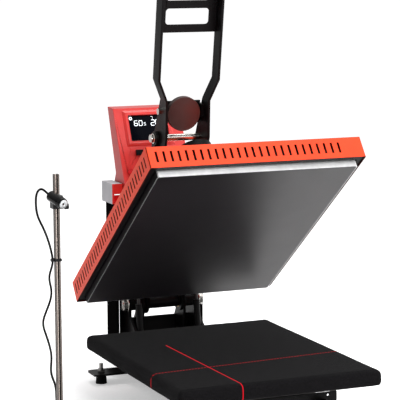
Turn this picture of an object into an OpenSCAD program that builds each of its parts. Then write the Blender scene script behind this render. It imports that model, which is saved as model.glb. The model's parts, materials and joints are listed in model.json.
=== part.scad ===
// Clamshell heat press, standing open on its own feet.
// +X is to the operator's right, +Y points to the back and +Z up. The origin is on the floor,
// under the centre of the lower platen. Everything that swings with the heater is drawn closed,
// flat on the lower platen, and then turned open about the main hinge.

/* [Platen] */
// Width of the lower platen with its cover
platen_w = 400; // [320:1:480]
// Depth of the lower platen with its cover
platen_d = 500; // [400:1:600]
// Height of the cover's top face above the floor
platen_top = 125; // [120:1:150]
// Thickness of the fabric cover
cover_t = 2.5; // [2:0.5:4]
// Visible height of the cover's side
cover_h = 31; // [28:1:37]
// Thickness of the aluminium lower platen
lower_plate_t = 14; // [8:1:16]

/* [Heater] */
// Depth of the casing's rim above the heating face
rim_setback = 11; // [8:1:14]
// Height of the heater's casing
casing_h = 43; // [38:1:55]
// How far the casing stands out past the heating plate on each side
casing_margin = 15; // [10:1:18]
// Wall of the casing
casing_wall = 2; // [1.5:0.5:3]
// Thickness of the heating plate
plate_t = 20; // [16:1:22]
// Width of a cooling slot
slot_w = 4.5; // [2:0.5:6]
// Height of a cooling slot
slot_h = 22; // [14:1:28]
// Pitch of the cooling slots
slot_pitch = 14.5; // [12:0.5:20]
// How far the heater can be raised off its lowest setting
heater_travel = 10; // [0:1:12]

/* [Hinge and linkage] */
// Distance of the hinge shaft behind the lower platen
hinge_setback = 95; // [90:1:120]
// Height of the hinge shaft above the floor
hinge_z = 160; // [150:1:190]
// Angle between the closed heater and the stop where it stands open
open_angle = 37; // [30:1:40]
// Angle that the handle turns between open and closed
handle_swing = 81; // [76:1:84]
// Distance of the handle's pivot behind the platen's centre, closed
pivot_back = 96; // [94:0.1:98]
// Height of the handle's pivot above the floor, closed
pivot_z = 360.9; // [355:0.1:375]
// Radius of the hinge shaft
shaft_r = 10; // [8:0.5:12]
// Radius of the handle rod
rod_r = 7; // [6:0.5:8]
// Radius of the handle's pivot pin
pin_r = 7; // [6:0.5:8]
// Radial clearance of a running fit
running = 0.05; // [0.02:0.01:0.1]
// Thickness of the carrier arms
arm_t = 6; // [4:0.5:8]
// Thickness of the handle's side plates
handle_t = 5; // [4:0.5:6]
// Outer half width of the lower handle
handle_half = 48; // [44:0.5:52]

/* [Handle] */
// Outer half width of the handle's upper bars
grip_half = 66; // [62:1:90]
// Depth of the handle's bars
bar_depth = 32; // [24:1:36]
// Length of the handle from its rod to its top
handle_len = 362; // [340:1:420]
// Radius of the armature disc
disc_r = 35; // [30:1:37]
// Thickness of the armature disc
disc_t = 12; // [8:1:14]

/* [Base] */
// Width of the base channel
base_w = 190; // [180:1:240]
// Sheet thickness of the base
sheet_t = 4; // [3:0.5:5]
// Height of the rubber feet
foot_h = 20; // [15:1:25]
// Radius of the rubber feet
foot_r = 10; // [8:1:16]
// Height of the base channel's top
base_top = 78; // [70:1:80]
// Distance of the feet from the centre line
foot_x = 140; // [120:1:170]

/* [Control box] */
// Width of the control box
box_w = 150; // [130:1:160]
// Angle that the control panel leans back
panel_lean = 24.2; // [10:0.1:30]
// Wall of the control box
box_wall = 2; // [1.5:0.5:3]

/* [Laser] */
// Distance of the laser post from the centre line
post_x = 340; // [300:1:400]
// Width of the square laser post
post_w = 10; // [9:0.5:14]
// Height of the laser post's top above the floor
post_top = 487; // [400:1:560]

/* [Hidden] */

$fn = 48;
eps = 0.3;
grow = 1;

// Colours
red_paint = [0.85, 0.16, 0.06];
black_coat = [0.07, 0.07, 0.08];
bright_steel = [0.78, 0.79, 0.8];
dark_steel = [0.2, 0.18, 0.17];
grey_sheet = [0.6, 0.61, 0.62];

// Hinge, rod and link pivots
hinge_y = platen_d / 2 + hinge_setback;
function turn_y(y, z, a) = y * cos(a) - z * sin(a);
function turn_z(y, z, a) = y * sin(a) + z * cos(a);
handle_lean = 90 - handle_swing;
// The pivot in the handle's own frame, whose origin is the rod: depth, then height
pivot_in_handle = [17.5, -49.4];
pivot_open = [
    hinge_y + turn_y(pivot_back - hinge_y, pivot_z - hinge_z, -open_angle),
    hinge_z + turn_z(pivot_back - hinge_y, pivot_z - hinge_z, -open_angle)
];
rod_open_y = pivot_open[0] - turn_y(pivot_in_handle[0], pivot_in_handle[1], handle_lean);
rod_open_z = pivot_open[1] - turn_z(pivot_in_handle[0], pivot_in_handle[1], handle_lean);
// The links turn on studs just above the hinge. Their upper eyes have play round the rod,
// because the rod drifts a little off a true arc about the studs
link_foot = [hinge_y + 5, hinge_z + 39.1];
eye_centre = [rod_open_y - 1.7, rod_open_z + 0.4];
eye_play = 2.15;
link_len = norm(eye_centre - link_foot);
link_tilt = atan2(link_foot[0] - eye_centre[0], eye_centre[1] - link_foot[1]);

// Stations across the machine, measured from the centre line outwards
arm_out = handle_half - handle_t - 1.3;
arm_in = arm_out - arm_t;
link_t = 6;
link_in = handle_half + 1;
link_out = link_in + link_t;
spring_x = link_out + 9.5;
plate_in = link_out + 18;
plate_out = plate_in + 5;

// Heater heights, closed
face_z = platen_top + 0.5;
sheet_gauge = 0.5;
plate_z = face_z + sheet_gauge;
rim_z = plate_z + rim_setback;
casing_top = rim_z + casing_h;
casing_w = platen_w + 2 * casing_margin;
casing_d = platen_d + 2 * casing_margin;
mount_t = 8;
mount_top = casing_top + mount_t;
mount_bolt = 60;

// Magnet and pressure gear, closed
disc_in = -13.9;
disc_up = 52.8;
lock_y = pivot_back + pivot_in_handle[1] - disc_up;
magnet_top = pivot_z - pivot_in_handle[0] + disc_in - disc_t / 2 - eps;
bridge_t = 12;
bridge_top = magnet_top - 39.4;
bridge_z = bridge_top - bridge_t;
bridge_len = 114;
bridge_bolt_y = 35;
flange_t = 6;
magnet_r = 35;
coil_in = 14;
coil_out = 27;
coil_h = 26;
magnet_bolt_x = 24;
magnet_bolt_y = 42;
guide_y = 46;
guide_r = 7;
spindle_r = 10;
wheel_r = 36;
wheel_z = mount_top + 24;
wheel_h = 26;
hub_r = 16;
hub_flange_r = 24;
retainer_r = 34;
retainer_h = 15;

// Gas springs: lower stud, upper stud when closed
spring_foot = [hinge_y - 43, hinge_z - 70];
spring_head_closed = [hinge_y - 65, hinge_z + 44];
spring_head = [
    hinge_y + turn_y(spring_head_closed[0] - hinge_y, spring_head_closed[1] - hinge_z, -open_angle),
    hinge_z + turn_z(spring_head_closed[0] - hinge_y, spring_head_closed[1] - hinge_z, -open_angle)
];
spring_len = norm(spring_head - spring_foot);
spring_tilt = atan2(spring_head[0] - spring_foot[0], spring_head[1] - spring_foot[1]);
stud_r = 5;
link_stud_r = 6;
cheek_t = 4.5;
spring_eye_play = 1.7;

// Base
bar_z = foot_h;
channel_z = bar_z + sheet_t;
front_y = -platen_d / 2 + 60;
rear_y = hinge_y + 85;
front_foot_y = front_y + 30;
rear_foot_y = hinge_y - 9;
panel_half = 137;
rail_in = 60;
rail_out = 85;
knob_x = 103;
knob_z = 58;
column_y = hinge_y + 13;
column_d = 52;
column_top = 369.7;
bolt_r = 4;

// Control box, side view: y is measured from the hinge
box_x = -3;
box_left = box_x - box_w / 2;
panel_bottom = [hinge_y - 2, 394];
panel_len = 185;
panel_top = panel_bottom + panel_len * [sin(panel_lean), cos(panel_lean)];
box_back_top = [panel_top[0] + 33, panel_top[1] + 2];
box_waist = [hinge_y + 60, 430];
box_heel = [hinge_y + 78, 394];
display_w = 86;
display_h = 57;
display_x = -5;
display_s = 45;
setting_x = -36;
setting_s = 100;
button_x = -62;
button_s = 140;
stem_r = 3;
cradle_half = 102;
cradle_front = hinge_y + 16;
cradle_d = 64;
cradle_top = 412;
rocker_x = -91;
rocker_z = 380.5;
rocker_tilt = 10;
rocker_pin_r = 1.8;

// Laser
post_y = 0;
bracket_z = channel_z;
bracket_t = 6;
laser_drop = 43;
laser_z = post_top - laser_drop;
laser_pitch = 16;
laser_yaw = -73;
laser_r = 10;
laser_len = 40;
laser_x = -post_x - 9;
laser_y = post_y - post_w / 2 - laser_r - 17;
clamp_wall = 4.5;
clamp_h = 24;
joint_z = 229;
lead_r = 1.8;
tie_z = 326;
// Route of the laser's lead: a loop from the head, down beside the post, and along the bracket
lead_route = [
    [-357, -4, 452], [-360, 2, 456], [-364, 6, 460], [-369, 7, 460], [-374, 6, 456],
    [-377, 5, 448], [-378, 4, 438], [-378, 3, 424], [-375, 2, 408], [-368, 0, 394],
    [-362, 0, 380], [-357, 0, 366], [-353, 0, 352], [-350, 0, 338], [-349, 0, 330],
    [-349, 0, 322], [-352, 0, 312], [-356, 0, 301], [-356, 0, 290], [-353, 0, 278],
    [-352, 0, 268], [-354, 0, 255], [-360, 0, 240], [-367, 0, 225], [-370, 0, 213],
    [-368, 0, 201], [-362, 0, 184], [-356, 0, 163], [-354, 0, 148], [-355, 1, 133],
    [-355, 4, 118], [-350, 9, 104], [-344, 12, 92], [-342, 13, 76], [-342, 13, 58],
    [-341, 13, 44], [-335, 14, 36], [-322, 16, 34], [-300, 17, 34], [-270, 17, 34],
    [-240, 17, 34], [-200, 17, 34], [-160, 17, 34], [-125, 17, 34], [-96, 17, 34]
];

// Moves what is drawn closed to where it stands open
module swung_open() {
    translate([0, hinge_y, hinge_z])
        rotate([-open_angle, 0, 0])
            translate([0, -hinge_y, -hinge_z])
                children();
}

// The handle's own frame: x across, y into the depth and z up the bars, from the rod
module in_handle() {
    translate([0, rod_open_y, rod_open_z])
        rotate([handle_lean, 0, 0])
            children();
}

// A spot on the leaning control panel: +z out of the panel, +y up it
module on_panel(x, s) {
    translate([x, panel_top[0] - s * sin(panel_lean), panel_top[1] - s * cos(panel_lean)])
        rotate([90 - panel_lean, 0, 0])
            children();
}

// A flat plate standing across X, from a side view drawn as (y, z)
module side_plate(x, t) {
    translate([x, 0, 0])
        rotate([90, 0, 90])
            linear_extrude(t)
                children();
}

// The same plate on both sides of the machine
module side_plates(inner, t) {
    side_plate(inner, t) children();
    side_plate(-inner - t, t) children();
}

// A round bar along X
module bar_x(x, len, y, z, r) {
    translate([x, y, z])
        rotate([0, 90, 0])
            cylinder(h = len, r = r);
}

// Round bars along X on both sides
module bars_x(inner, len, y, z, r) {
    bar_x(inner, len, y, z, r);
    bar_x(-inner - len, len, y, z, r);
}

// A flat strip with round ends between two points, its sides just inside the ends' circles
module strip(p, q, r) {
    d = q - p;
    side = r - 0.4;
    translate(p) circle(r);
    translate(q) circle(r);
    translate(p)
        rotate(atan2(d[1], d[0]))
            translate([0, -side])
                square([norm(d), 2 * side]);
}

// A rectangle with round corners, centred
module round_rect(w, d, r) {
    square([w - 2 * r, d], center = true);
    square([w, d - 2 * r], center = true);
    for (sx = [-1, 1], sy = [-1, 1])
        translate([sx * (w / 2 - r), sy * (d / 2 - r)])
            circle(r);
}

// A hexagon-headed bolt along +Z with its head's underside at z = 0
module bolt(r, len) {
    cylinder(h = 1.3 * r, r = 1.8 * r, $fn = 6);
    translate([0, 0, -len]) cylinder(h = len, r = r);
}

// A bolt along X whose head stands outside, on both sides
module side_bolts(x, y, z, r, len) {
    for (s = [-1, 1])
        translate([s * x, y, z])
            rotate([0, s * 90, 0])
                bolt(r, len);
}

// ---- Base ----

module base_channel() {
    color(black_coat)
    difference() {
        translate([-base_w / 2, front_y, channel_z])
            cube([base_w, rear_y - front_y, base_top - channel_z]);
        translate([-base_w / 2 + sheet_t, front_y - grow, channel_z - grow])
            cube([base_w - 2 * sheet_t, rear_y - front_y - sheet_t + grow,
                  base_top - sheet_t - channel_z + grow]);
        for (sx = [-1, 1]) {
            for (y = [hinge_y - 30, hinge_y + 30])
                translate([sx * (plate_out + 8), y, base_top - 2 * sheet_t])
                    cylinder(h = 3 * sheet_t, r = bolt_r + 0.2);
            for (y = [column_y + 12, column_y + 40])
                bar_x(sx * base_w / 2 - 2 * sheet_t, 4 * sheet_t, y, base_top - 25, bolt_r + 0.2);
        }
        bar_x(-base_w / 2 - grow, 2 * sheet_t, 17, 34, 5);
    }
}

module front_panel() {
    color(black_coat)
    difference() {
        union() {
            translate([-panel_half, front_y - sheet_t, channel_z + 2])
                cube([2 * panel_half, sheet_t, base_top - channel_z - 2]);
            for (sx = [-1, 1])
                translate([sx * (panel_half - sheet_t / 2) - sheet_t / 2, front_y, channel_z + 2])
                    cube([sheet_t, 18, base_top - channel_z - 2]);
        }
        translate([knob_x, front_y + grow, knob_z])
            rotate([90, 0, 0])
                cylinder(h = sheet_t + 2 * grow, r = 6 + running);
        translate([knob_x + 16, front_y + grow, base_top - 6])
            rotate([90, 0, 0])
                cylinder(h = sheet_t + 2 * grow, r = 2.5);
    }
}

module foot_bars() {
    color(black_coat)
    for (y = [front_foot_y, rear_foot_y])
        difference() {
            translate([0, y, bar_z])
                linear_extrude(sheet_t)
                    round_rect(2 * foot_x + 44, 50, 6);
            for (sx = [-1, 1])
                translate([sx * foot_x, y, bar_z - grow])
                    cylinder(h = sheet_t + 2 * grow, r = bolt_r + 0.2);
        }
    // Flat bracket that holds the laser's post beside the base
    color(black_coat)
    translate([-post_x - 22, post_y - 24, bracket_z])
        cube([post_x + 22 - base_w / 2 - eps / 2, 48, bracket_t]);
}

module rubber_feet() {
    color([0.05, 0.05, 0.05])
    for (sx = [-1, 1], y = [front_foot_y, rear_foot_y])
        translate([sx * foot_x, y, 0])
            difference() {
                cylinder(h = foot_h, r1 = foot_r + 2, r2 = foot_r);
                translate([0, 0, 6]) cylinder(h = foot_h, r = bolt_r + 0.1);
            }
    color([0.05, 0.05, 0.05])
    translate([-post_x, post_y, 0]) cylinder(h = bracket_z, r1 = foot_r + 2, r2 = foot_r);
}

module foot_bolts() {
    color(bright_steel)
    for (sx = [-1, 1], y = [front_foot_y, rear_foot_y])
        translate([sx * foot_x, y, 0]) {
            translate([0, 0, foot_h - 12]) cylinder(h = 30 + sheet_t, r = bolt_r);
            translate([0, 0, bar_z + sheet_t]) cylinder(h = 6.5, r = 7.5, $fn = 6);
        }
}

module base_bolts() {
    color(bright_steel)
    for (sx = [-1, 1]) {
        for (y = [hinge_y - 30, hinge_y + 30])
            translate([sx * (plate_out + 8), y, base_top + 5])
                bolt(bolt_r, 5 + sheet_t + 4);
        for (y = [column_y + 12, column_y + 40])
            translate([sx * (base_w / 2 + sheet_t), y, base_top - 25])
                rotate([0, sx * 90, 0])
                    bolt(bolt_r, 2 * sheet_t + 4);
    }
}

// ---- Lower platen ----

module platen_rails() {
    color(black_coat)
    for (sx = [-1, 1])
        translate([sx * (rail_in + rail_out) / 2, 0, base_top])
            linear_extrude(platen_top - cover_h - base_top)
                square([rail_out - rail_in, platen_d - 160], center = true);
}

module lower_platen() {
    color([0.75, 0.76, 0.78])
    translate([0, 0, platen_top - cover_h])
        linear_extrude(lower_plate_t)
            round_rect(platen_w - 2 * cover_t - 4, platen_d - 2 * cover_t - 4, 6);
}

module silicone_pad() {
    color([0.75, 0.35, 0.25])
    translate([0, 0, platen_top - cover_h + lower_plate_t])
        linear_extrude(cover_h - lower_plate_t - cover_t - eps)
            round_rect(platen_w - 2 * cover_t - 4, platen_d - 2 * cover_t - 4, 6);
}

module platen_cover() {
    color([0.08, 0.08, 0.08])
    difference() {
        translate([0, 0, platen_top - cover_h])
            linear_extrude(cover_h)
                round_rect(platen_w, platen_d, 8);
        translate([0, 0, platen_top - cover_h - grow])
            linear_extrude(cover_h - cover_t + grow)
                round_rect(platen_w - 2 * cover_t, platen_d - 2 * cover_t, 7);
    }
}

module lock_knob() {
    color(black_coat)
    translate([knob_x, front_y, knob_z])
        rotate([90, 0, 0]) {
            translate([0, 0, sheet_t + 10]) cylinder(h = 13, r = 11);
            translate([0, 0, -30]) cylinder(h = 42 + sheet_t, r = 6);
        }
}

// ---- Hinge stand ----

module hinge_plate_outline() {
    difference() {
        polygon([
            [hinge_y - 55, base_top], [hinge_y - 55, base_top + 26], [hinge_y - 14, base_top + 58],
            [hinge_y - 14, hinge_z + 48], [hinge_y - 2, hinge_z + 60], [hinge_y + 46, hinge_z + 60],
            [hinge_y + 46, base_top]
        ]);
        translate([hinge_y, hinge_z]) circle(shaft_r + 0.02);
        translate(link_foot) circle(link_stud_r + 0.02);
    }
}

module hinge_plate(side) {
    color(black_coat) {
        side_plate(side > 0 ? plate_in : -plate_out, plate_out - plate_in) hinge_plate_outline();
        difference() {
            translate([side > 0 ? plate_out : -base_w / 2, hinge_y - 45, base_top])
                cube([base_w / 2 - plate_out, 90, 5]);
            for (y = [hinge_y - 30, hinge_y + 30])
                translate([side * (plate_out + 8), y, base_top - grow])
                    cylinder(h = 5 + 2 * grow, r = bolt_r + 0.2);
        }
        // The gas spring's lower stud
        bar_x(side > 0 ? spring_x - 5 : -plate_in, plate_in - spring_x + 5,
              spring_foot[0], spring_foot[1], stud_r);
    }
}

module hinge_plate_left() hinge_plate(-1);
module hinge_plate_right() hinge_plate(1);

// Inner cheeks that lean back from the hinge shaft to the base, and the tie between them
module hinge_bracket() {
    color(black_coat)
    difference() {
        union() {
            translate([-plate_in + 0.2, hinge_y + 34, base_top])
                cube([2 * plate_in - 0.4, 5, 45]);
            side_plates(arm_out + 2, cheek_t) {
                polygon([
                    [hinge_y - 18, hinge_z], [hinge_y + 2, base_top], [hinge_y + 60, base_top],
                    [hinge_y + 50, base_top + 30], [hinge_y + 18, hinge_z]
                ]);
                translate([hinge_y, hinge_z]) circle(18);
            }
        }
        bar_x(-60, 120, hinge_y, hinge_z, shaft_r + 0.02);
    }
}

// Shoulder studs on the hinge plates that the links turn on
module link_studs() {
    color(bright_steel) {
        bars_x(link_in - 0.4, plate_out - link_in + 3.4, link_foot[0], link_foot[1], link_stud_r);
        difference() {
            bars_x(link_out + 0.5, plate_in - link_out - 0.8, link_foot[0], link_foot[1],
                   link_stud_r + 3);
            bars_x(link_out, plate_in - link_out, link_foot[0], link_foot[1], link_stud_r + 0.02);
        }
    }
}

module hinge_shaft() {
    color(bright_steel)
    bar_x(-plate_out - 13, 2 * plate_out + 25, hinge_y, hinge_z, shaft_r);
}

module hinge_nuts() {
    color(bright_steel)
    for (s = [-1, 1])
        translate([s * plate_out, hinge_y, hinge_z])
            rotate([0, s * 90, 0])
                difference() {
                    union() {
                        cylinder(h = 2, r = 1.7 * shaft_r);
                        cylinder(h = 11, r = 1.5 * shaft_r, $fn = 6);
                    }
                    translate([0, 0, -grow]) cylinder(h = 15, r = shaft_r + running);
                }
}

module hinge_spacers() {
    color(dark_steel)
    difference() {
        union() {
            bar_x(-arm_in + eps, 2 * (arm_in - eps), hinge_y, hinge_z, shaft_r + 3);
            bars_x(arm_out + eps, 2 - 2 * eps, hinge_y, hinge_z, shaft_r + 4);
            bars_x(arm_out + 2 + cheek_t + eps, plate_in - arm_out - 2 - cheek_t - 2 * eps,
                   hinge_y, hinge_z, shaft_r + 4);
        }
        bar_x(-plate_out, 2 * plate_out, hinge_y, hinge_z, shaft_r + running);
    }
}

// ---- Rear columns ----

module column(side) {
    color(black_coat)
    difference() {
        side_plate(side > 0 ? base_w / 2 : -base_w / 2 - sheet_t, sheet_t)
            polygon([
                [column_y, channel_z + 4], [column_y, column_top - 18],
                [column_y + 14, column_top], [column_y + column_d, column_top],
                [column_y + column_d, channel_z + 4]
            ]);
        for (y = [column_y + 12, column_y + 40])
            bar_x(side * base_w / 2 - 10, 20, y, base_top - 25, bolt_r + 0.2);
    }
    // Folded rear edge and top shelf
    color(black_coat) {
        translate([side > 0 ? base_w / 2 - 22 : -base_w / 2, column_y + column_d - sheet_t,
                   base_top + 5])
            cube([22, sheet_t, column_top - base_top - 5]);
        translate([side > 0 ? base_w / 2 - 22 : -base_w / 2, column_y + 14, column_top - sheet_t])
            cube([22, column_d - 14, sheet_t]);
    }
}

module column_left() column(-1);
module column_right() column(1);

// ---- Carrier ----

lobe_front = [lock_y - 43, bridge_z + bridge_t / 2];
lobe_back = [lock_y + 64, bridge_z + bridge_t / 2];
arm_mid = [hinge_y, hinge_z] + 0.7 * ([pivot_back, pivot_z] - [hinge_y, hinge_z]);

module carrier_outline() {
    hinge = [hinge_y, hinge_z];
    pivot = [pivot_back, pivot_z];
    difference() {
        union() {
            strip(hinge, pivot, 22);
            strip(lobe_front, lobe_back, 14);
            polygon([
                pivot - [18, 6], pivot - [48, 52], lobe_front + [3, 12], lobe_front + [3, 0],
                lobe_back + [3, -11], arm_mid, pivot
            ]);
        }
        translate(hinge) circle(shaft_r + 4.02);
        translate(pivot) circle(pin_r + 0.02);
        for (s = [-1, 1])
            translate([lock_y + s * bridge_bolt_y, bridge_z + bridge_t / 2]) circle(bolt_r + 0.2);
    }
}

module carrier_arm(side) {
    color(black_coat)
    swung_open()
        side_plate(side > 0 ? arm_in : -arm_out, arm_t) carrier_outline();
}

module carrier_arm_left() carrier_arm(-1);
module carrier_arm_right() carrier_arm(1);

module hinge_bushes() {
    color([0.72, 0.53, 0.25])
    difference() {
        bars_x(arm_in, arm_t, hinge_y, hinge_z, shaft_r + 4);
        bar_x(-plate_out, 2 * plate_out, hinge_y, hinge_z, shaft_r + running);
    }
}

module bridge() {
    color(black_coat)
    swung_open()
        difference() {
            translate([-arm_in + 0.1, lock_y - bridge_len / 2, bridge_z])
                cube([2 * arm_in - 0.2, bridge_len, bridge_t]);
            for (s = [-1, 1]) {
                translate([0, lock_y + s * guide_y, bridge_z - grow])
                    cylinder(h = bridge_t + 2 * grow, r = guide_r + running);
                for (side = [-1, 1], end = [-1, 1])
                    translate([side * magnet_bolt_x, lock_y + end * magnet_bolt_y, bridge_top - 6])
                        cylinder(h = 8, r = bolt_r - 0.5 + 0.02);
                for (side = [-1, 1])
                    bar_x(side * arm_in - 13, 26, lock_y + s * bridge_bolt_y,
                          bridge_z + bridge_t / 2, bolt_r + 0.02);
            }
        }
}

module bridge_bolts() {
    color(bright_steel)
    swung_open() {
        for (s = [-1, 1])
            side_bolts(arm_out, lock_y + s * bridge_bolt_y, bridge_z + bridge_t / 2, bolt_r, 18);
        for (sx = [-1, 1], sy = [-1, 1])
            translate([sx * magnet_bolt_x, lock_y + sy * magnet_bolt_y, bridge_top + flange_t])
                bolt(bolt_r - 0.5, flange_t + 4);
    }
}

module electromagnet() {
    color([0.1, 0.1, 0.11])
    swung_open()
        translate([0, lock_y, bridge_top])
            difference() {
                union() {
                    translate([-magnet_r + 1, -52, 0]) cube([2 * magnet_r - 2, 104, flange_t]);
                    cylinder(h = magnet_top - bridge_top, r = magnet_r);
                }
                translate([0, 0, magnet_top - bridge_top - coil_h])
                    difference() {
                        cylinder(h = coil_h + grow, r = coil_out);
                        translate([0, 0, -grow]) cylinder(h = coil_h + 3 * grow, r = coil_in);
                    }
                for (s = [-1, 1])
                    translate([0, s * guide_y, -grow])
                        cylinder(h = flange_t + 2 * grow, r = guide_r + 1);
                for (sx = [-1, 1], sy = [-1, 1])
                    translate([sx * magnet_bolt_x, sy * magnet_bolt_y, -grow])
                        cylinder(h = flange_t + 2 * grow, r = bolt_r + 0.2);
            }
}

module magnet_coil() {
    color([0.45, 0.12, 0.08])
    swung_open()
        translate([0, lock_y, magnet_top - coil_h])
            difference() {
                cylinder(h = coil_h - 1, r = coil_out - 0.1);
                translate([0, 0, -grow]) cylinder(h = coil_h + grow, r = coil_in + 0.1);
            }
}

module wheel_retainer() {
    color(dark_steel)
    swung_open()
        translate([0, lock_y, bridge_z - retainer_h])
            difference() {
                cylinder(h = retainer_h, r = retainer_r);
                translate([0, 0, -grow]) cylinder(h = retainer_h + 2, r = hub_r + 0.4);
                translate([0, 0, 6]) cylinder(h = retainer_h, r = hub_flange_r + 0.4);
            }
}

module handle_pivot() {
    color(bright_steel)
    bar_x(-handle_half - 0.5, 2 * handle_half + 1, pivot_open[0], pivot_open[1], pin_r);
}

module spring_studs() {
    color(bright_steel)
    bars_x(arm_out, spring_x + 5 - arm_out, spring_head[0], spring_head[1], stud_r);
}

// ---- Heater ----

// A row of cooling slots along one wall, cut right through it
module slot_row(count, first, len, turned, offset) {
    for (i = [0 : count - 1])
        rotate(turned)
            translate([-len / 2 + first + i * slot_pitch - slot_w / 2, -offset - 3, 0])
                cube([slot_w, casing_wall + 6, slot_h]);
}

front_slots = floor((casing_w - 17 - 50) / slot_pitch) + 1;
side_slots = floor((casing_d - 36) / slot_pitch) + 1;
slot_z = rim_z + 11;

module heater_casing() {
    color(red_paint)
    swung_open()
        difference() {
            translate([0, 0, rim_z])
                linear_extrude(casing_h)
                    round_rect(casing_w, casing_d, 3);
            translate([0, 0, rim_z - grow])
                linear_extrude(casing_h - casing_wall + grow)
                    round_rect(casing_w - 2 * casing_wall, casing_d - 2 * casing_wall, 1.5);
            translate([0, 0, slot_z]) {
                slot_row(front_slots, 17, casing_w, 0, casing_d / 2);
                slot_row(front_slots, 17, casing_w, 180, casing_d / 2);
                slot_row(side_slots, 18, casing_d, 90, casing_w / 2);
                slot_row(side_slots, 18, casing_d, -90, casing_w / 2);
            }
            for (sx = [-1, 1], sy = [-1, 1])
                translate([sx * mount_bolt, lock_y + sy * mount_bolt, casing_top - 10])
                    cylinder(h = 20, r = bolt_r + 0.3);
            translate([150, casing_d / 2 - 60, casing_top - 10]) cylinder(h = 20, r = 9);
        }
}

module heating_plate() {
    color([0.8, 0.81, 0.83])
    swung_open()
        difference() {
            translate([0, 0, plate_z])
                linear_extrude(plate_t)
                    round_rect(platen_w, platen_d, 4);
            for (sx = [-1, 1], sy = [-1, 1])
                translate([sx * mount_bolt, lock_y + sy * mount_bolt, plate_z + 8])
                    cylinder(h = plate_t, r = bolt_r + 0.1);
        }
}

module nonstick_sheet() {
    color([0.12, 0.11, 0.11])
    swung_open()
        translate([0, 0, face_z])
            linear_extrude(sheet_gauge)
                round_rect(platen_w - 3, platen_d - 3, 4);
}

element_z = plate_z + plate_t;
element_r = 4;
element_passes = 6;
element_gap = 70;

module heating_element() {
    color([0.5, 0.5, 0.52])
    swung_open()
        for (i = [0 : element_passes - 1])
            translate([0, (i - (element_passes - 1) / 2) * element_gap, element_z]) {
                translate([-platen_w / 2 + 40, -element_r, 0])
                    cube([platen_w - 80, 2 * element_r, 2 * element_r - 2]);
                if (i < element_passes - 1)
                    translate([(i % 2 == 0 ? 1 : -1) * (platen_w / 2 - 40) - element_r,
                               -element_r, 0])
                        cube([2 * element_r, element_gap + 2 * element_r, 2 * element_r - 2]);
            }
}

module insulation() {
    color([0.85, 0.83, 0.76])
    swung_open()
        difference() {
            translate([0, 0, element_z + 2 * element_r - 2 + eps])
                linear_extrude(casing_top - casing_wall - element_z - 2 * element_r + 2 - 2 * eps)
                    square([platen_w - 6, platen_d - 6], center = true);
            for (sx = [-1, 1], sy = [-1, 1])
                translate([sx * mount_bolt, lock_y + sy * mount_bolt, element_z])
                    cylinder(h = 60, r = bolt_r + 1);
            translate([150, casing_d / 2 - 60, element_z]) cylinder(h = 60, r = 10);
        }
}

// Black angle frame that closes the gap between the plate and the casing
module inner_frame() {
    color([0.13, 0.13, 0.14])
    swung_open()
        difference() {
            translate([0, 0, rim_z + 2])
                linear_extrude(8)
                    round_rect(casing_w - 2 * casing_wall - 0.6, casing_d - 2 * casing_wall - 0.6,
                               1.2);
            translate([0, 0, rim_z])
                linear_extrude(20)
                    round_rect(platen_w + 4, platen_d + 4, 4);
        }
}

module mount_plate() {
    color(black_coat)
    swung_open()
        translate([0, lock_y, casing_top])
            difference() {
                linear_extrude(mount_t) round_rect(2 * mount_bolt + 30, 2 * mount_bolt + 30, 8);
                for (sx = [-1, 1], sy = [-1, 1])
                    translate([sx * mount_bolt, sy * mount_bolt, -grow])
                        cylinder(h = mount_t + 2 * grow, r = bolt_r + 0.3);
            }
}

// Screw that carries the heater, its two guide rods and the four bolts that hold it
module spindle() {
    color(bright_steel)
    swung_open()
        translate([0, lock_y, mount_top]) {
            cylinder(h = 8, r = 30);
            cylinder(h = bridge_z - mount_top - heater_travel - 3, r = spindle_r);
            for (s = [-1, 1])
                translate([0, s * guide_y, 0]) {
                    cylinder(h = 4, r = 12);
                    cylinder(h = bridge_top - mount_top + 9, r = guide_r);
                }
            for (sx = [-1, 1], sy = [-1, 1])
                translate([sx * mount_bolt, sy * mount_bolt, 0])
                    bolt(bolt_r, mount_top - plate_z - 9);
        }
}

module pressure_wheel() {
    color([0.06, 0.06, 0.06])
    swung_open()
        translate([0, lock_y, 0])
            difference() {
                union() {
                    difference() {
                        translate([0, 0, wheel_z]) cylinder(h = wheel_h, r = wheel_r);
                        for (i = [0 : 7])
                            rotate(i * 45 + 22.5)
                                translate([wheel_r + 5, 0, wheel_z - grow])
                                    cylinder(h = wheel_h + 2 * grow, r = 9);
                    }
                    translate([0, 0, wheel_z]) cylinder(h = bridge_z - wheel_z - eps, r = hub_r);
                    translate([0, 0, bridge_z - 8.5]) cylinder(h = 8.5 - eps, r = hub_flange_r);
                }
                translate([0, 0, wheel_z - grow])
                    cylinder(h = bridge_z - wheel_z + 2 * grow, r = spindle_r + running);
            }
}

// ---- Handle ----

bend_low = 83;
bend_high = 125;
web_low = 217;
web_high = 330;
window_h = 32;
window_low = 233;
window_gap = 16;
grip_up = handle_len - 16;
bar_front = -38;

// Side view of a lower side plate, as (depth, height)
module handle_cheek() {
    difference() {
        polygon([
            [bar_front, bend_low], [bar_front + bar_depth, bend_low], [12, 26],
            pivot_in_handle + [15, 8], pivot_in_handle + [15, -5], pivot_in_handle + [4, -16],
            pivot_in_handle + [-12, -14], [-40, -22], [-46, 10]
        ]);
        circle(rod_r + 0.02);
        translate(pivot_in_handle) circle(pin_r + running);
        translate([disc_in + 4, disc_up + 5]) circle(bolt_r + 0.2);
    }
}

// Front view of one bar, as (x, height): straight, bent outwards, then straight to the top
module handle_bar() {
    polygon([
        [handle_half - handle_t, bend_low - 1], [handle_half, bend_low - 1],
        [handle_half, bend_low], [grip_half, bend_high], [grip_half, handle_len],
        [grip_half - handle_t, handle_len], [grip_half - handle_t, bend_high],
        [handle_half - handle_t, bend_low]
    ]);
}

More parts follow.
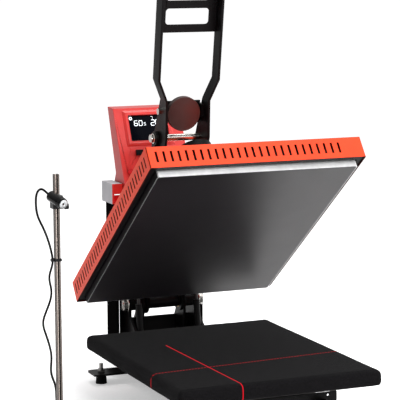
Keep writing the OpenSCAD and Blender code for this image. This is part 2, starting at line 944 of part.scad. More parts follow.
module handle_web() {
    difference() {
        translate([-grip_half + handle_t - 0.5, web_low])
            square([2 * (grip_half - handle_t) + 1, web_high - web_low]);
        for (i = [0, 1])
            translate([0, window_low + window_h / 2 + i * (window_h + window_gap)])
                round_rect(2 * grip_half - 40, window_h, 7);
    }
}

module handle_frame() {
    color(black_coat)
    in_handle()
        difference() {
            union() {
                side_plates(handle_half - handle_t, handle_t) handle_cheek();
                translate([0, bar_front + bar_depth, 0])
                    rotate([90, 0, 0])
                        linear_extrude(bar_depth) {
                            handle_bar();
                            mirror([1, 0]) handle_bar();
                        }
                translate([0, bar_front + bar_depth, 0])
                    rotate([90, 0, 0])
                        linear_extrude(4) handle_web();
            }
            bar_x(-grip_half - 5, 2 * grip_half + 10, bar_front + bar_depth / 2, grip_up, 9);
        }
}

module handle_grip() {
    color([0.05, 0.05, 0.05])
    in_handle() {
        bar_x(-grip_half - 3, 2 * grip_half + 6, bar_front + bar_depth / 2, grip_up, 8.9);
        bar_x(-grip_half + handle_t + 3, 2 * (grip_half - handle_t - 3),
              bar_front + bar_depth / 2, grip_up, 15);
    }
}

module armature_disc() {
    color(dark_steel)
    in_handle()
        translate([0, disc_in + disc_t / 2, disc_up])
            rotate([90, 0, 0])
                difference() {
                    cylinder(h = disc_t, r = disc_r);
                    for (r = [10, 18, 26])
                        translate([0, 0, disc_t - 0.6])
                            difference() {
                                cylinder(h = 2, r = r + 1);
                                translate([0, 0, -grow]) cylinder(h = 4, r = r);
                            }
                }
}

// Bridge plate behind the disc, its cheeks, and the bolts that hold it and the disc
module disc_bracket() {
    color(bright_steel)
    in_handle() {
        back = disc_in + disc_t / 2;
        wide = handle_half - handle_t - 0.1;
        translate([-wide, back + 10, disc_up - 22]) cube([2 * wide, 5, 44]);
        for (sx = [-1, 1])
            translate([sx > 0 ? wide - 5 : -wide, disc_in - 4, disc_up - 8])
                cube([5, disc_t / 2 + 19, 26]);
        translate([0, back + 15, disc_up]) rotate([-90, 0, 0]) bolt(6, 15);
        side_bolts(handle_half, disc_in + 4, disc_up + 5, bolt_r, handle_t + 3);
    }
}

module handle_rod() {
    color(bright_steel)
    bar_x(-link_out - 8, 2 * link_out + 16, rod_open_y, rod_open_z, rod_r);
}

module rod_nuts() {
    color(bright_steel)
    for (s = [-1, 1])
        translate([s * (link_out + 0.6), rod_open_y, rod_open_z])
            rotate([handle_lean, 0, 0])
                rotate([0, s * 90, 0])
                    difference() {
                        union() {
                            cylinder(h = 1.5, r = 12.5);
                            cylinder(h = 6.5, r = 11, $fn = 6);
                        }
                        translate([0, 0, -grow]) cylinder(h = 10, r = rod_r + running);
                    }
}

// ---- Links ----

// A link drawn upright from its lower eye
module link_outline() {
    difference() {
        union() {
            strip([0, 0], [0, link_len], 9);
            circle(link_stud_r + 6);
            translate([0, link_len]) circle(rod_r + eye_play + 5);
        }
        circle(link_stud_r + running);
        translate([0, link_len]) circle(rod_r + eye_play);
    }
}

module links() {
    color(dark_steel)
    translate([0, link_foot[0], link_foot[1]])
        rotate([link_tilt, 0, 0])
            side_plates(link_in, link_t) link_outline();
}

// ---- Gas springs ----

tube_r = 7;
piston_rod_r = 3.5;
tube_len = 76;

module along_spring() {
    for (s = [-1, 1])
        translate([s * spring_x, spring_foot[0], spring_foot[1]])
            rotate([-spring_tilt, 0, 0])
                children();
}

module spring_eye(r, bore) {
    rotate([0, 90, 0])
        difference() {
            cylinder(h = 9, r = r, center = true);
            cylinder(h = 20, r = bore, center = true);
        }
}

module gas_spring_tubes() {
    color([0.08, 0.08, 0.09])
    along_spring() {
        spring_eye(stud_r + 4, stud_r + running);
        difference() {
            translate([0, 0, stud_r + 3]) cylinder(h = tube_len - stud_r - 3, r = tube_r);
            translate([0, 0, stud_r + 8]) cylinder(h = tube_len - stud_r - 13, r = tube_r - 1.5);
            translate([0, 0, stud_r + 8]) cylinder(h = tube_len, r = piston_rod_r + running);
        }
    }
}

module gas_spring_rods() {
    color(bright_steel)
    along_spring() {
        translate([0, 0, 48])
            cylinder(h = spring_len - 48 - stud_r - spring_eye_play - 1, r = piston_rod_r);
        translate([0, 0, 48]) cylinder(h = 4, r = tube_r - 1.9);
        translate([0, 0, spring_len]) spring_eye(stud_r + 5, stud_r + spring_eye_play);
    }
}

// ---- Control box ----

module box_outline() {
    polygon([panel_bottom, panel_top, box_back_top, box_waist, box_heel]);
}

module control_box() {
    color(red_paint)
    difference() {
        side_plate(box_left, box_w) box_outline();
        side_plate(box_left + box_wall, box_w - 2 * box_wall)
            polygon([
                [panel_bottom[0] + box_wall * 1.4, panel_bottom[1] + box_wall],
                [panel_top[0] + box_wall * 0.8, panel_top[1] - box_wall],
                [hinge_y + 200, panel_top[1] - box_wall],
                [hinge_y + 200, panel_bottom[1] + box_wall]
            ]);
        on_panel(display_x, display_s)
            translate([-display_w / 2, -display_h / 2, -10]) cube([display_w, display_h, 20]);
        on_panel(setting_x, setting_s) translate([0, 0, -10]) cylinder(h = 20, r = stem_r + running);
        on_panel(button_x, button_s) translate([0, 0, -10]) cylinder(h = 20, r = stem_r + running);
    }
}

module box_back() {
    color(black_coat)
    side_plate(box_left + box_wall + 0.2, box_w - 2 * box_wall - 0.4)
        polygon([
            [box_back_top[0] - 0.9, panel_top[1] - box_wall - 0.2], [box_waist[0] - 0.2, box_waist[1]],
            [box_heel[0] - 1.2, box_heel[1] + box_wall + 0.2],
            [box_heel[0] - 3.4, box_heel[1] + box_wall + 0.2], [box_waist[0] - 2.4, box_waist[1]],
            [box_back_top[0] - 3.1, panel_top[1] - box_wall - 0.2]
        ]);
}

// Window, its bezel's rim and the board behind
module display() {
    color([0.05, 0.06, 0.07])
    on_panel(display_x, display_s) {
        translate([-display_w / 2 + 0.2, -display_h / 2 + 0.2, -6])
            cube([display_w - 0.4, display_h - 0.4, 3]);
        translate([-display_w / 2 - 6, -display_h / 2 - 6, -8])
            cube([display_w + 12, display_h + 12, 2]);
        for (sx = [-1, 1], sy = [-1, 1])
            translate([sx * (display_w / 2 + 3), sy * (display_h / 2 + 3), -6])
                cylinder(h = 6 - box_wall - 0.8, r = 2.5);
    }
}

module setting_button() {
    color([0.05, 0.05, 0.05])
    on_panel(setting_x, setting_s) {
        translate([-7.5, -5.5, 2.4]) cube([15, 11, 5]);
        translate([0, 0, -9]) cylinder(h = 12, r = stem_r);
    }
}

module red_button() {
    color([0.5, 0.05, 0.04])
    on_panel(button_x, button_s) {
        translate([0, 0, 2.4]) cylinder(h = 2.6, r = 6);
        translate([0, 0, -8]) cylinder(h = 11, r = stem_r);
    }
}

// Grey cradle that holds the control box and houses the mains parts
module power_box() {
    color(grey_sheet)
    difference() {
        translate([-cradle_half, cradle_front, column_top + eps])
            cube([2 * cradle_half, cradle_d, cradle_top - column_top - eps]);
        translate([box_left - 1.5, cradle_front - grow, panel_bottom[1] - 0.2])
            cube([box_w + 3, cradle_d + 2 * grow, 50]);
        translate([-cradle_half + 2, cradle_front + 2, column_top + eps + 2])
            cube([2 * cradle_half - 4, cradle_d, panel_bottom[1] - column_top - eps - 4.2]);
        for (sx = [0, 1])
            translate([sx == 0 ? -cradle_half + 2 : box_left + box_w + 3.5, cradle_front + 2,
                       column_top + 5])
                cube([sx == 0 ? cradle_half + box_left - 5.5 : cradle_half - box_left - box_w - 5.5,
                      cradle_d, cradle_top - column_top - 7]);
        translate([rocker_x - 6.5, cradle_front - grow, rocker_z - 10]) cube([13, 6, 20]);
        bar_x(rocker_x - 8, 16, cradle_front + 3, rocker_z, rocker_pin_r + running);
    }
}

// Rocker with its pivot pin, tilted to its ON side
module rocker_switch() {
    color([0.8, 0.05, 0.04])
    translate([0, cradle_front + 3, rocker_z])
        rotate([rocker_tilt, 0, 0]) {
            side_plate(rocker_x - 6.2, 12.4)
                polygon([[0.4, -8], [-5, -8.5], [-2.8, 0], [-5, 8.5], [0.4, 8]]);
            bar_x(rocker_x - 7.6, 15.2, 0, 0, rocker_pin_r);
        }
}

module transformer() {
    color([0.35, 0.3, 0.25])
    translate([-35, cradle_front + 8, column_top + 2 + 2 * eps])
        cube([70, 46, panel_bottom[1] - column_top - 5]);
}

// ---- Laser ----

// Square section with a groove down each face
module post_section() {
    difference() {
        square(post_w, center = true);
        for (a = [0 : 90 : 270])
            rotate(a)
                translate([post_w / 2 - 2.2, -1.4])
                    square([3, 2.8]);
    }
}

// Post made of two lengths with a fine joint between them
module laser_post() {
    color([0.72, 0.73, 0.74])
    translate([-post_x, post_y, 0])
        difference() {
            translate([0, 0, bracket_z + bracket_t])
                linear_extrude(post_top - bracket_z - bracket_t) post_section();
            translate([0, 0, joint_z])
                linear_extrude(1)
                    difference() {
                        square(post_w + 2, center = true);
                        square(post_w - 1.2, center = true);
                    }
        }
}

module laser_aim() {
    translate([laser_x, laser_y, laser_z])
        rotate([0, 0, laser_yaw])
            rotate([0, laser_pitch, 0])
                rotate([0, 90, 0])
                    children();
}

// Block clamped round the post with its thumb screw, the arm that holds the head, and a tie
module laser_clamp() {
    block = post_w + 2 * clamp_wall;
    color([0.1, 0.1, 0.1]) {
        difference() {
            union() {
                translate([-post_x - block / 2, post_y - block / 2, laser_z - clamp_h / 2 - 8])
                    cube([block, block, clamp_h]);
                translate([-post_x - 4, post_y - block / 2 + 1, laser_z - 4])
                    rotate([90, 0, 0]) cylinder(h = 18, r = 5.5);
            }
            translate([-post_x - post_w / 2 - 0.1, post_y - post_w / 2 - 0.1, laser_z - 40])
                cube([post_w + 0.2, post_w + 0.2, 80]);
            laser_aim() cylinder(h = 2 * laser_len, r = laser_r + 0.02, center = true);
        }
        translate([-post_x + block / 2, post_y - 3, laser_z - 17]) rotate([0, 90, 0]) {
            cylinder(h = 6, r = 2.5);
            translate([0, 0, 5]) cylinder(h = 7, r = 5.5);
        }
        translate([0, 0, tie_z])
            linear_extrude(5)
                difference() {
                    translate([-post_x, post_y]) square(post_w + 3.4, center = true);
                    translate([-post_x, post_y]) square(post_w + 0.2, center = true);
                }
        translate([0, 0, tie_z])
            difference() {
                translate([-post_x - post_w / 2 - 7.4, post_y - 3.5, 0]) cube([6, 7, 5]);
                translate([-349, 0, -grow]) cylinder(h = 10, r = lead_r + 0.1);
            }
    }
}

// Laser head, its front ring and the strain relief at its back
module laser_head() {
    color([0.07, 0.07, 0.07])
    laser_aim() {
        translate([0, 0, -laser_len / 2]) cylinder(h = laser_len, r = laser_r);
        translate([0, 0, laser_len / 2]) cylinder(h = 2.5, r = laser_r - 1.5);
        translate([0, 0, -laser_len / 2 - 8]) cylinder(h = 8, r1 = 3, r2 = 5);
    }
}

function unit(v) = v / norm(v);
function tangent(p, i) =
    i == 0 ? unit(p[1] - p[0]) :
    i == len(p) - 1 ? unit(p[i] - p[i - 1]) : unit(p[i + 1] - p[i - 1]);
function lead_side(t) = unit(cross(t, abs(t[2]) > 0.9 ? [1, 0, 0] : [0, 0, 1]));
function ring_at(p, i, r, n) =
    let (t = tangent(p, i), u = lead_side(t), v = cross(t, u))
    [for (k = [0 : n - 1]) p[i] + r * (cos(360 * k / n) * u + sin(360 * k / n) * v)];

module lead_tube(p, r, n) {
    m = len(p);
    points = [for (i = [0 : m - 1]) each ring_at(p, i, r, n)];
    walls = [
        for (i = [0 : m - 2], k = [0 : n - 1])
            [i * n + k, (i + 1) * n + k, (i + 1) * n + (k + 1) % n, i * n + (k + 1) % n]
    ];
    polyhedron(
        points,
        concat(walls, [[for (k = [0 : n - 1]) k]],
               [[for (k = [n - 1 : -1 : 0]) (m - 1) * n + k]])
    );
}

module laser_lead() {
    color([0.05, 0.05, 0.05])
    lead_tube(lead_route, lead_r, 8);
}

base_channel();
front_panel();
foot_bars();
rubber_feet();
foot_bolts();
platen_rails();
lower_platen();
silicone_pad();
platen_cover();
lock_knob();
hinge_plate_left();
hinge_plate_right();
hinge_bracket();
link_studs();
hinge_shaft();
hinge_nuts();
hinge_spacers();
column_left();
column_right();
base_bolts();
carrier_arm_left();
carrier_arm_right();
hinge_bushes();
bridge();
bridge_bolts();
electromagnet();
magnet_coil();
wheel_retainer();
handle_pivot();
spring_studs();
heater_casing();
heating_plate();
nonstick_sheet();
heating_element();
insulation();
inner_frame();
mount_plate();
spindle();
pressure_wheel();
handle_frame();
handle_grip();
armature_disc();
disc_bracket();
handle_rod();
rod_nuts();
links();
gas_spring_tubes();
gas_spring_rods();
control_box();
box_back();
display();
setting_button();
red_button();
power_box();
rocker_switch();
transformer();
laser_post();
laser_clamp();
laser_head();
laser_lead();
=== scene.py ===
"""Clamshell heat press standing open: finishes, padded cover, display, laser and studio."""

import json
import logging
import math
from abc import ABC, abstractmethod
from dataclasses import dataclass, field
from enum import Enum
from functools import partial
from typing import Callable, Iterable

import bpy
from mathutils import Matrix, Vector

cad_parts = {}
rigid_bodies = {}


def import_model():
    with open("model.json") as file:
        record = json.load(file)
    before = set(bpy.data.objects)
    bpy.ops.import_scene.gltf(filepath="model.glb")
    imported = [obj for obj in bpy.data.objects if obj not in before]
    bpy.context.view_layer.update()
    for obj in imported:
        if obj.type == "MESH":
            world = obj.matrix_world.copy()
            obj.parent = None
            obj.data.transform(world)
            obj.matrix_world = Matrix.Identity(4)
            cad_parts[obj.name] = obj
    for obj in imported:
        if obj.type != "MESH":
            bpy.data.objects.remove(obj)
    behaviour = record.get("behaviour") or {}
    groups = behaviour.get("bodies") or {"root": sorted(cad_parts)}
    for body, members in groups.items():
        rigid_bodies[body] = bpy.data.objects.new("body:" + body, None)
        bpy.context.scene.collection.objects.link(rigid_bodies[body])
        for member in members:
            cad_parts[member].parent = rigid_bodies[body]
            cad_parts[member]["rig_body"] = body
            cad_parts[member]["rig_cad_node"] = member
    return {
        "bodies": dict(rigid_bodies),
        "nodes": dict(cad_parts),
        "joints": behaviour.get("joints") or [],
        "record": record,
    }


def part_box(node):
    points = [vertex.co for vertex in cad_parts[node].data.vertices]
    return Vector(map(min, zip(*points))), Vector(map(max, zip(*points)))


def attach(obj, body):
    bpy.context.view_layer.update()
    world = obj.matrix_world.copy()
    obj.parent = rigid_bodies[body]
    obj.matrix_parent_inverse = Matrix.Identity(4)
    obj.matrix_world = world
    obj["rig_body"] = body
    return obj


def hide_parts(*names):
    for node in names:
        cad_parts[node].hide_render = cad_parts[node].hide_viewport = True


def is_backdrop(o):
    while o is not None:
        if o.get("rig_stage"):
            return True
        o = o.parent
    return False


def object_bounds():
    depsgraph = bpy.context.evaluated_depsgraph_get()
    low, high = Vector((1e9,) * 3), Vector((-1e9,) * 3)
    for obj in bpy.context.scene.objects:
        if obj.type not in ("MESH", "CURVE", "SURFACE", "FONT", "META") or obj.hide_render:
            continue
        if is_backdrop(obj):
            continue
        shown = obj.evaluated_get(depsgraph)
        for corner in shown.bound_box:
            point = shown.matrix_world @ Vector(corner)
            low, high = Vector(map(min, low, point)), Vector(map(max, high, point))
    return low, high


LOG = logging.getLogger("heat_press")
MM = 0.001


# ---------------------------------------------------------------- finishes


def arithmetic(nodes: bpy.types.Nodes, links: bpy.types.NodeLinks, operation: str,
               a: object, b: object) -> bpy.types.NodeSocket:
    """One arithmetic step between nodes.

    Args:
        nodes: the nodes to add it to.
        links: their links.
        operation: the name of the step.
        a: a socket or a number.
        b: another socket or number.

    Returns:
        The result's socket.
    """
    node = nodes.new("ShaderNodeMath")
    node.operation = operation
    for i, value in enumerate((a, b)):
        if isinstance(value, bpy.types.NodeSocket):
            links.new(value, node.inputs[i])
        else:
            node.inputs[i].default_value = value
    return node.outputs[0]


class Sheet:
    """A material's node sheet with short ways to add and join nodes."""

    def __init__(self, name: str) -> None:
        """Starts an empty material with a shader and an output.

        Args:
            name: the finish's name.
        """
        self.material = bpy.data.materials.new(name + "_finish")
        self.material.use_nodes = True
        self.nodes = self.material.node_tree.nodes
        self.links = self.material.node_tree.links
        self.nodes.clear()
        self.out = self.nodes.new("ShaderNodeOutputMaterial")
        self.shader = self.nodes.new("ShaderNodeBsdfPrincipled")
        self.links.new(self.shader.outputs[0], self.out.inputs[0])
        self.place = self.nodes.new("ShaderNodeTexCoord").outputs["Object"]

    def add(self, kind: str, **inputs: object) -> bpy.types.Node:
        """Adds a node and sets or links its inputs.

        Args:
            kind: the node type after "ShaderNode".
            **inputs: input name, with spaces as underscores, to a value or an output socket.

        Returns:
            The new node.
        """
        node = self.nodes.new("ShaderNode" + kind)
        for key, value in inputs.items():
            self.feed(node, key.replace("_", " "), value)
        return node

    def feed(self, node: bpy.types.Node, key: str, value: object) -> None:
        """Links a socket to an input, or sets the input's value.

        Args:
            node: the node that takes it.
            key: the input's name.
            value: a value or an output socket.
        """
        if isinstance(value, bpy.types.NodeSocket):
            self.links.new(value, node.inputs[key])
        else:
            node.inputs[key].default_value = value

    def set(self, **inputs: object) -> None:
        """Sets or links inputs of the shader."""
        for key, value in inputs.items():
            self.feed(self.shader, key.replace("_", " "), value)

    def noise(self, scale: float, detail: float = 2.0, place: object = None) -> object:
        """A noise pattern on the piece, from 0 to 1."""
        vector = place if place is not None else self.place
        return self.add("TexNoise", Vector=vector, Scale=scale, Detail=detail).outputs[0]

    def ramp(self, fac: object, stops: Iterable[tuple[float, tuple]]) -> object:
        """A colour ramp over a factor.

        Args:
            fac: the factor's socket.
            stops: (position, colour) pairs, lowest first.

        Returns:
            The ramp's colour socket.
        """
        node = self.add("ValToRGB", Fac=fac)
        elements = node.color_ramp.elements
        for i, (position, colour) in enumerate(stops):
            element = elements[i] if i < 2 else elements.new(position)
            element.position = position
            element.color = colour
        return node.outputs[0]

    def span(self, value: object, low: float, high: float) -> object:
        """Stretches a pattern from 0..1 to another range.

        Args:
            value: the pattern's socket.
            low: what 0 becomes.
            high: what 1 becomes.

        Returns:
            The stretched pattern's socket.
        """
        node = self.add("MapRange", Value=value)
        node.inputs["To Min"].default_value = low
        node.inputs["To Max"].default_value = high
        return node.outputs[0]

    def math(self, operation: str, a: object, b: object = 0.0) -> object:
        """One arithmetic step on sockets or numbers."""
        return arithmetic(self.nodes, self.links, operation, a, b)

    def bump(self, height: object, strength: float, distance: float) -> None:
        """Raises the surface by a height pattern, on top of what raises it already.

        Args:
            height: the pattern's socket.
            strength: how much of it is used.
            distance: the height of its full range in metres.
        """
        node = self.add("Bump", Height=height, Strength=strength, Distance=distance)
        if self.shader.inputs["Normal"].is_linked:
            self.feed(node, "Normal", self.shader.inputs["Normal"].links[0].from_socket)
        self.feed(self.shader, "Normal", node.outputs[0])


def shade(colour: tuple, by: float) -> tuple:
    """A colour made lighter or darker, with full alpha."""
    return (*(min(1.0, c * by) for c in colour[:3]), 1.0)


@dataclass(frozen=True)
class Surface(ABC):
    """A finish by its name and colour; each kind lays its own pattern."""

    name: str
    colour: tuple

    def build(self) -> bpy.types.Material:
        """Makes the finish's material.

        Returns:
            The material.
        """
        sheet = Sheet(self.name)
        self.lay(sheet)
        return sheet.material

    def tint(self, s: Sheet, pattern: object, *stops: tuple[float, float]) -> None:
        """Makes the colour lighter and darker over a pattern.

        Args:
            s: the material's sheet.
            pattern: the pattern's socket.
            *stops: (pattern value, brightness) pairs, lowest first.
        """
        s.set(Base_Color=s.ramp(pattern, [(at, shade(self.colour, by)) for at, by in stops]))

    @abstractmethod
    def lay(self, s: Sheet) -> None:
        """Lays the finish's nodes on the material's sheet."""


@dataclass(frozen=True)
class PowderCoat(Surface):
    """Baked powder paint: fine orange peel, a thin coat and faint mottling."""

    roughness: float = 0.42
    peel: float = 0.12
    coat: float = 0.0
    specular: float = 0.5

    def lay(self, s: Sheet) -> None:
        """Lays the pattern on the sheet.

        Args:
            s: the material's sheet.
        """
        self.tint(s, s.noise(38.0, 4.0), (0.3, 0.94), (0.7, 1.05))
        s.set(Roughness=s.span(s.noise(120.0, 3.0), self.roughness - 0.05, self.roughness + 0.06))
        s.set(Coat_Weight=self.coat, Coat_Roughness=0.12, Specular_IOR_Level=self.specular)
        s.bump(s.noise(900.0, 1.0), self.peel, 0.0004)


@dataclass(frozen=True)
class PlatedMetal(Surface):
    """Bright or turned metal with fine tool marks and rubbed patches."""

    roughness: float = 0.2
    marks: tuple = (900.0, 40.0, 40.0)
    depth: float = 0.06

    def lay(self, s: Sheet) -> None:
        """Lays the pattern on the sheet.

        Args:
            s: the material's sheet.
        """
        stretched = s.add("Mapping", Vector=s.place, Scale=self.marks).outputs[0]
        lines = s.noise(1.0, 3.0, stretched)
        s.set(Metallic=1.0)
        self.tint(s, s.noise(60.0, 3.0), (0.3, 0.9), (0.7, 1.06))
        s.set(Roughness=s.span(lines, self.roughness - 0.06, self.roughness + 0.1))
        s.bump(lines, self.depth, 0.0002)


@dataclass(frozen=True)
class Moulded(Surface):
    """Moulded plastic or rubber with a fine matt grain."""

    roughness: float = 0.55
    grain: float = 700.0
    depth: float = 0.15
    sheen: float = 0.0
    specular: float = 0.35

    def lay(self, s: Sheet) -> None:
        """Lays the pattern on the sheet.

        Args:
            s: the material's sheet.
        """
        speck = s.noise(self.grain, 2.0)
        self.tint(s, s.noise(45.0, 3.0), (0.35, 0.88), (0.65, 1.1))
        s.set(Roughness=s.span(speck, self.roughness - 0.06, self.roughness + 0.08))
        s.set(Sheen_Weight=self.sheen, Sheen_Roughness=0.5, Specular_IOR_Level=self.specular)
        s.bump(speck, self.depth, 0.0003)


@dataclass(frozen=True)
class NonStick(Surface):
    """Black non-stick sheet over the heating face: satin with a faint glass-cloth grid."""

    name: str = "nonstick_sheet"
    colour: tuple = (0.0135, 0.0115, 0.0132)
    roughness: float = 0.33
    pitch: float = 0.0012
    tilt: float = 0.0

    def lay(self, s: Sheet) -> None:
        """Lays the pattern on the sheet.

        Args:
            s: the material's sheet.
        """
        level = s.add("Mapping", Vector=s.place, Rotation=(self.tilt, 0.0, 0.0)).outputs[0]
        parts = s.add("SeparateXYZ", Vector=level)
        turn = 2.0 * math.pi / self.pitch
        warp = s.math("SINE", s.math("MULTIPLY", parts.outputs[0], turn))
        weft = s.math("SINE", s.math("MULTIPLY", parts.outputs[1], turn))
        cloth = s.math("MULTIPLY", warp, weft)
        self.tint(s, s.noise(9.0, 3.0), (0.3, 0.85), (0.7, 1.25))
        s.set(Roughness=s.span(s.noise(26.0, 4.0), self.roughness - 0.04, self.roughness + 0.05))
        s.set(Specular_IOR_Level=0.55)
        s.bump(cloth, 0.04, 0.0002)


@dataclass(frozen=True)
class CoverCloth(Surface):
    """Black woven cover cloth with fibre fuzz, with the laser's two red lines painted on it as
    glowing light.
    """

    name: str = "cover_cloth"
    colour: tuple = (0.0052, 0.0048, 0.0054)
    pitch: float = 0.0016
    side_line: tuple = (-0.0866, -0.028)
    cross_line: tuple = (-0.0983, 0.0763)
    side_line_to: float = 0.097
    side_half: float = 0.0008
    cross_half: float = 0.0010
    dot_pitch: float = 0.0062

    def lay(self, s: Sheet) -> None:
        """Lays the pattern on the sheet.

        Args:
            s: the material's sheet.
        """
        parts = s.add("SeparateXYZ", Vector=s.place)
        x, y = parts.outputs[0], parts.outputs[1]
        turn = 2.0 * math.pi / self.pitch
        across = s.math("SINE", s.math("MULTIPLY", x, turn))
        along = s.math("SINE", s.math("MULTIPLY", y, turn))
        weave = s.math("MULTIPLY", across, along)
        fuzz = s.noise(420.0, 5.0)
        tone = s.math("ADD", s.math("MULTIPLY", weave, 0.16), fuzz)
        self.tint(s, tone, (0.28, 0.6), (0.5, 1.0), (0.78, 1.9))
        s.set(Roughness=0.94, Specular_IOR_Level=0.06)
        s.set(Sheen_Weight=0.03, Sheen_Roughness=0.4)
        s.bump(weave, 0.35, 0.0004)
        s.bump(fuzz, 0.25, 0.0006)
        # The laser's light falling on the cloth is painted here as emission.
        s.set(Emission_Color=(1.0, 0.0, 0.015, 1.0), Emission_Strength=self.lines(s, x, y))

    def lines(self, s: Sheet, x: object, y: object) -> object:
        """Brightness of the laser's two lines, light painted on the cloth: one solid from front to
        back, one dotted across.

        Args:
            s: the material's sheet.
            x: the coordinate across the platen.
            y: the coordinate from front to back.

        Returns:
            The brightness socket.
        """
        solid = self.band(s, x, y, self.side_line, self.side_half)
        solid = s.math("MULTIPLY", solid, s.math("LESS_THAN", y, self.side_line_to))
        dots = s.math("SINE", s.math("MULTIPLY", x, 2.0 * math.pi / self.dot_pitch))
        dots = s.math("ADD", 0.45, s.math("MULTIPLY", dots, 0.45))
        dotted = s.math("MULTIPLY", self.band(s, y, x, self.cross_line, self.cross_half), dots)
        return s.math("MAXIMUM", solid, dotted)

    def band(self, s: Sheet, value: object, along: object, line: tuple, half: float) -> object:
        """1 inside a thin, slightly slanting band and 0 outside.

        Args:
            s: the material's sheet.
            value: the coordinate across the band.
            along: the coordinate that runs with it.
            line: the band's place where along is 0, and its slant.
            half: half of its width.

        Returns:
            The band's socket.
        """
        centre = s.math("ADD", line[0], s.math("MULTIPLY", along, line[1]))
        return s.math("LESS_THAN", s.math("ABSOLUTE", s.math("SUBTRACT", value, centre)), half)


@dataclass(frozen=True)
class TurnedFace(Surface):
    """Dark turned steel with oil stains, one side browned by a painted reflection of the red
    casing.
    """

    name: str = "turned_disc"
    colour: tuple = (0.075, 0.045, 0.042)
    # Colour of the painted reflection of the red casing on one side of the disc.
    reflected_casing_red: tuple = (0.11, 0.038, 0.032)
    roughness: float = 0.4
    reach: tuple = (-0.030, 0.034)

    def lay(self, s: Sheet) -> None:
        """Lays the pattern on the sheet.

        Args:
            s: the material's sheet.
        """
        # Redder towards +x: a painted reflection of the casing, mixed with oil stains.
        x = s.add("SeparateXYZ", Vector=s.place).outputs[0]
        across = s.add("MapRange", Value=x)
        across.inputs["From Min"].default_value = self.reach[0]
        across.inputs["From Max"].default_value = self.reach[1]
        stain_and_reflection = s.math("ADD", s.math("MULTIPLY", s.noise(46.0, 5.0), 0.35),
                       s.math("MULTIPLY", across.outputs[0], 0.65))
        s.set(Metallic=0.55, Specular_IOR_Level=0.25)
        s.set(Base_Color=s.ramp(stain_and_reflection, [(0.15, shade(self.colour, 0.75)),
                                        (0.45, shade(self.colour, 1.1)),
                                        (0.85, shade(self.reflected_casing_red, 1.15))]))
        s.set(Roughness=s.span(s.noise(80.0, 4.0), self.roughness - 0.06, self.roughness + 0.1))
        s.bump(s.noise(700.0, 2.0), 0.05, 0.0001)


@dataclass(frozen=True)
class GroovedBar(Surface):
    """Drawn bar stock: grey-brown with painted shade in its slot and a painted highlight on the lip
    beside it.
    """

    name: str = "grooved_bar"
    colour: tuple = (0.17, 0.145, 0.13)
    middle: float = -0.3395
    slot: float = 0.0011
    lip: float = 0.0022
    lip_half: float = 0.0007

    def lay(self, s: Sheet) -> None:
        """Lays the pattern on the sheet.

        Args:
            s: the material's sheet.
        """
        x = s.add("SeparateXYZ", Vector=s.place).outputs[0]
        offset = s.math("SUBTRACT", x, self.middle)
        # Painted shade in the slot and a painted highlight on the lip beside it.
        slot_shade = s.math("LESS_THAN", s.math("ABSOLUTE", offset), self.slot)
        from_lip = s.math("ABSOLUTE", s.math("ADD", offset, self.lip))
        lip_highlight = s.math("LESS_THAN", from_lip, self.lip_half)
        tone = s.math("ADD", s.math("MULTIPLY", lip_highlight, 0.5), s.math("MULTIPLY", slot_shade, -0.5))
        draw = s.add("Mapping", Vector=s.place, Scale=(1500.0, 1500.0, 12.0)).outputs[0]
        streak = s.math("MULTIPLY", s.noise(1.0, 3.0, draw), 0.2)
        tone = s.math("ADD", s.math("ADD", tone, 0.4), streak)
        s.set(Metallic=0.85, Specular_IOR_Level=0.3)
        self.tint(s, tone, (0.1, 0.06), (0.45, 0.85), (0.6, 1.25), (0.95, 5.0))
        s.set(Roughness=s.span(s.noise(220.0, 2.0), 0.22, 0.34))
        s.bump(s.noise(1.0, 2.0, draw), 0.04, 0.0002)


@dataclass(frozen=True)
class Glow(Surface):
    """Lit segments of the display."""

    name: str = "lit_segments"
    colour: tuple = (0.9, 0.97, 1.0, 1.0)
    strength: float = 1.4

    def lay(self, s: Sheet) -> None:
        """Lays the pattern on the sheet.

        Args:
            s: the material's sheet.
        """
        s.set(Base_Color=(0.7, 0.75, 0.8, 1.0), Emission_Color=self.colour)
        grid = s.noise(2600.0, 1.0)
        s.set(Emission_Strength=s.span(grid, self.strength * 0.85, self.strength))


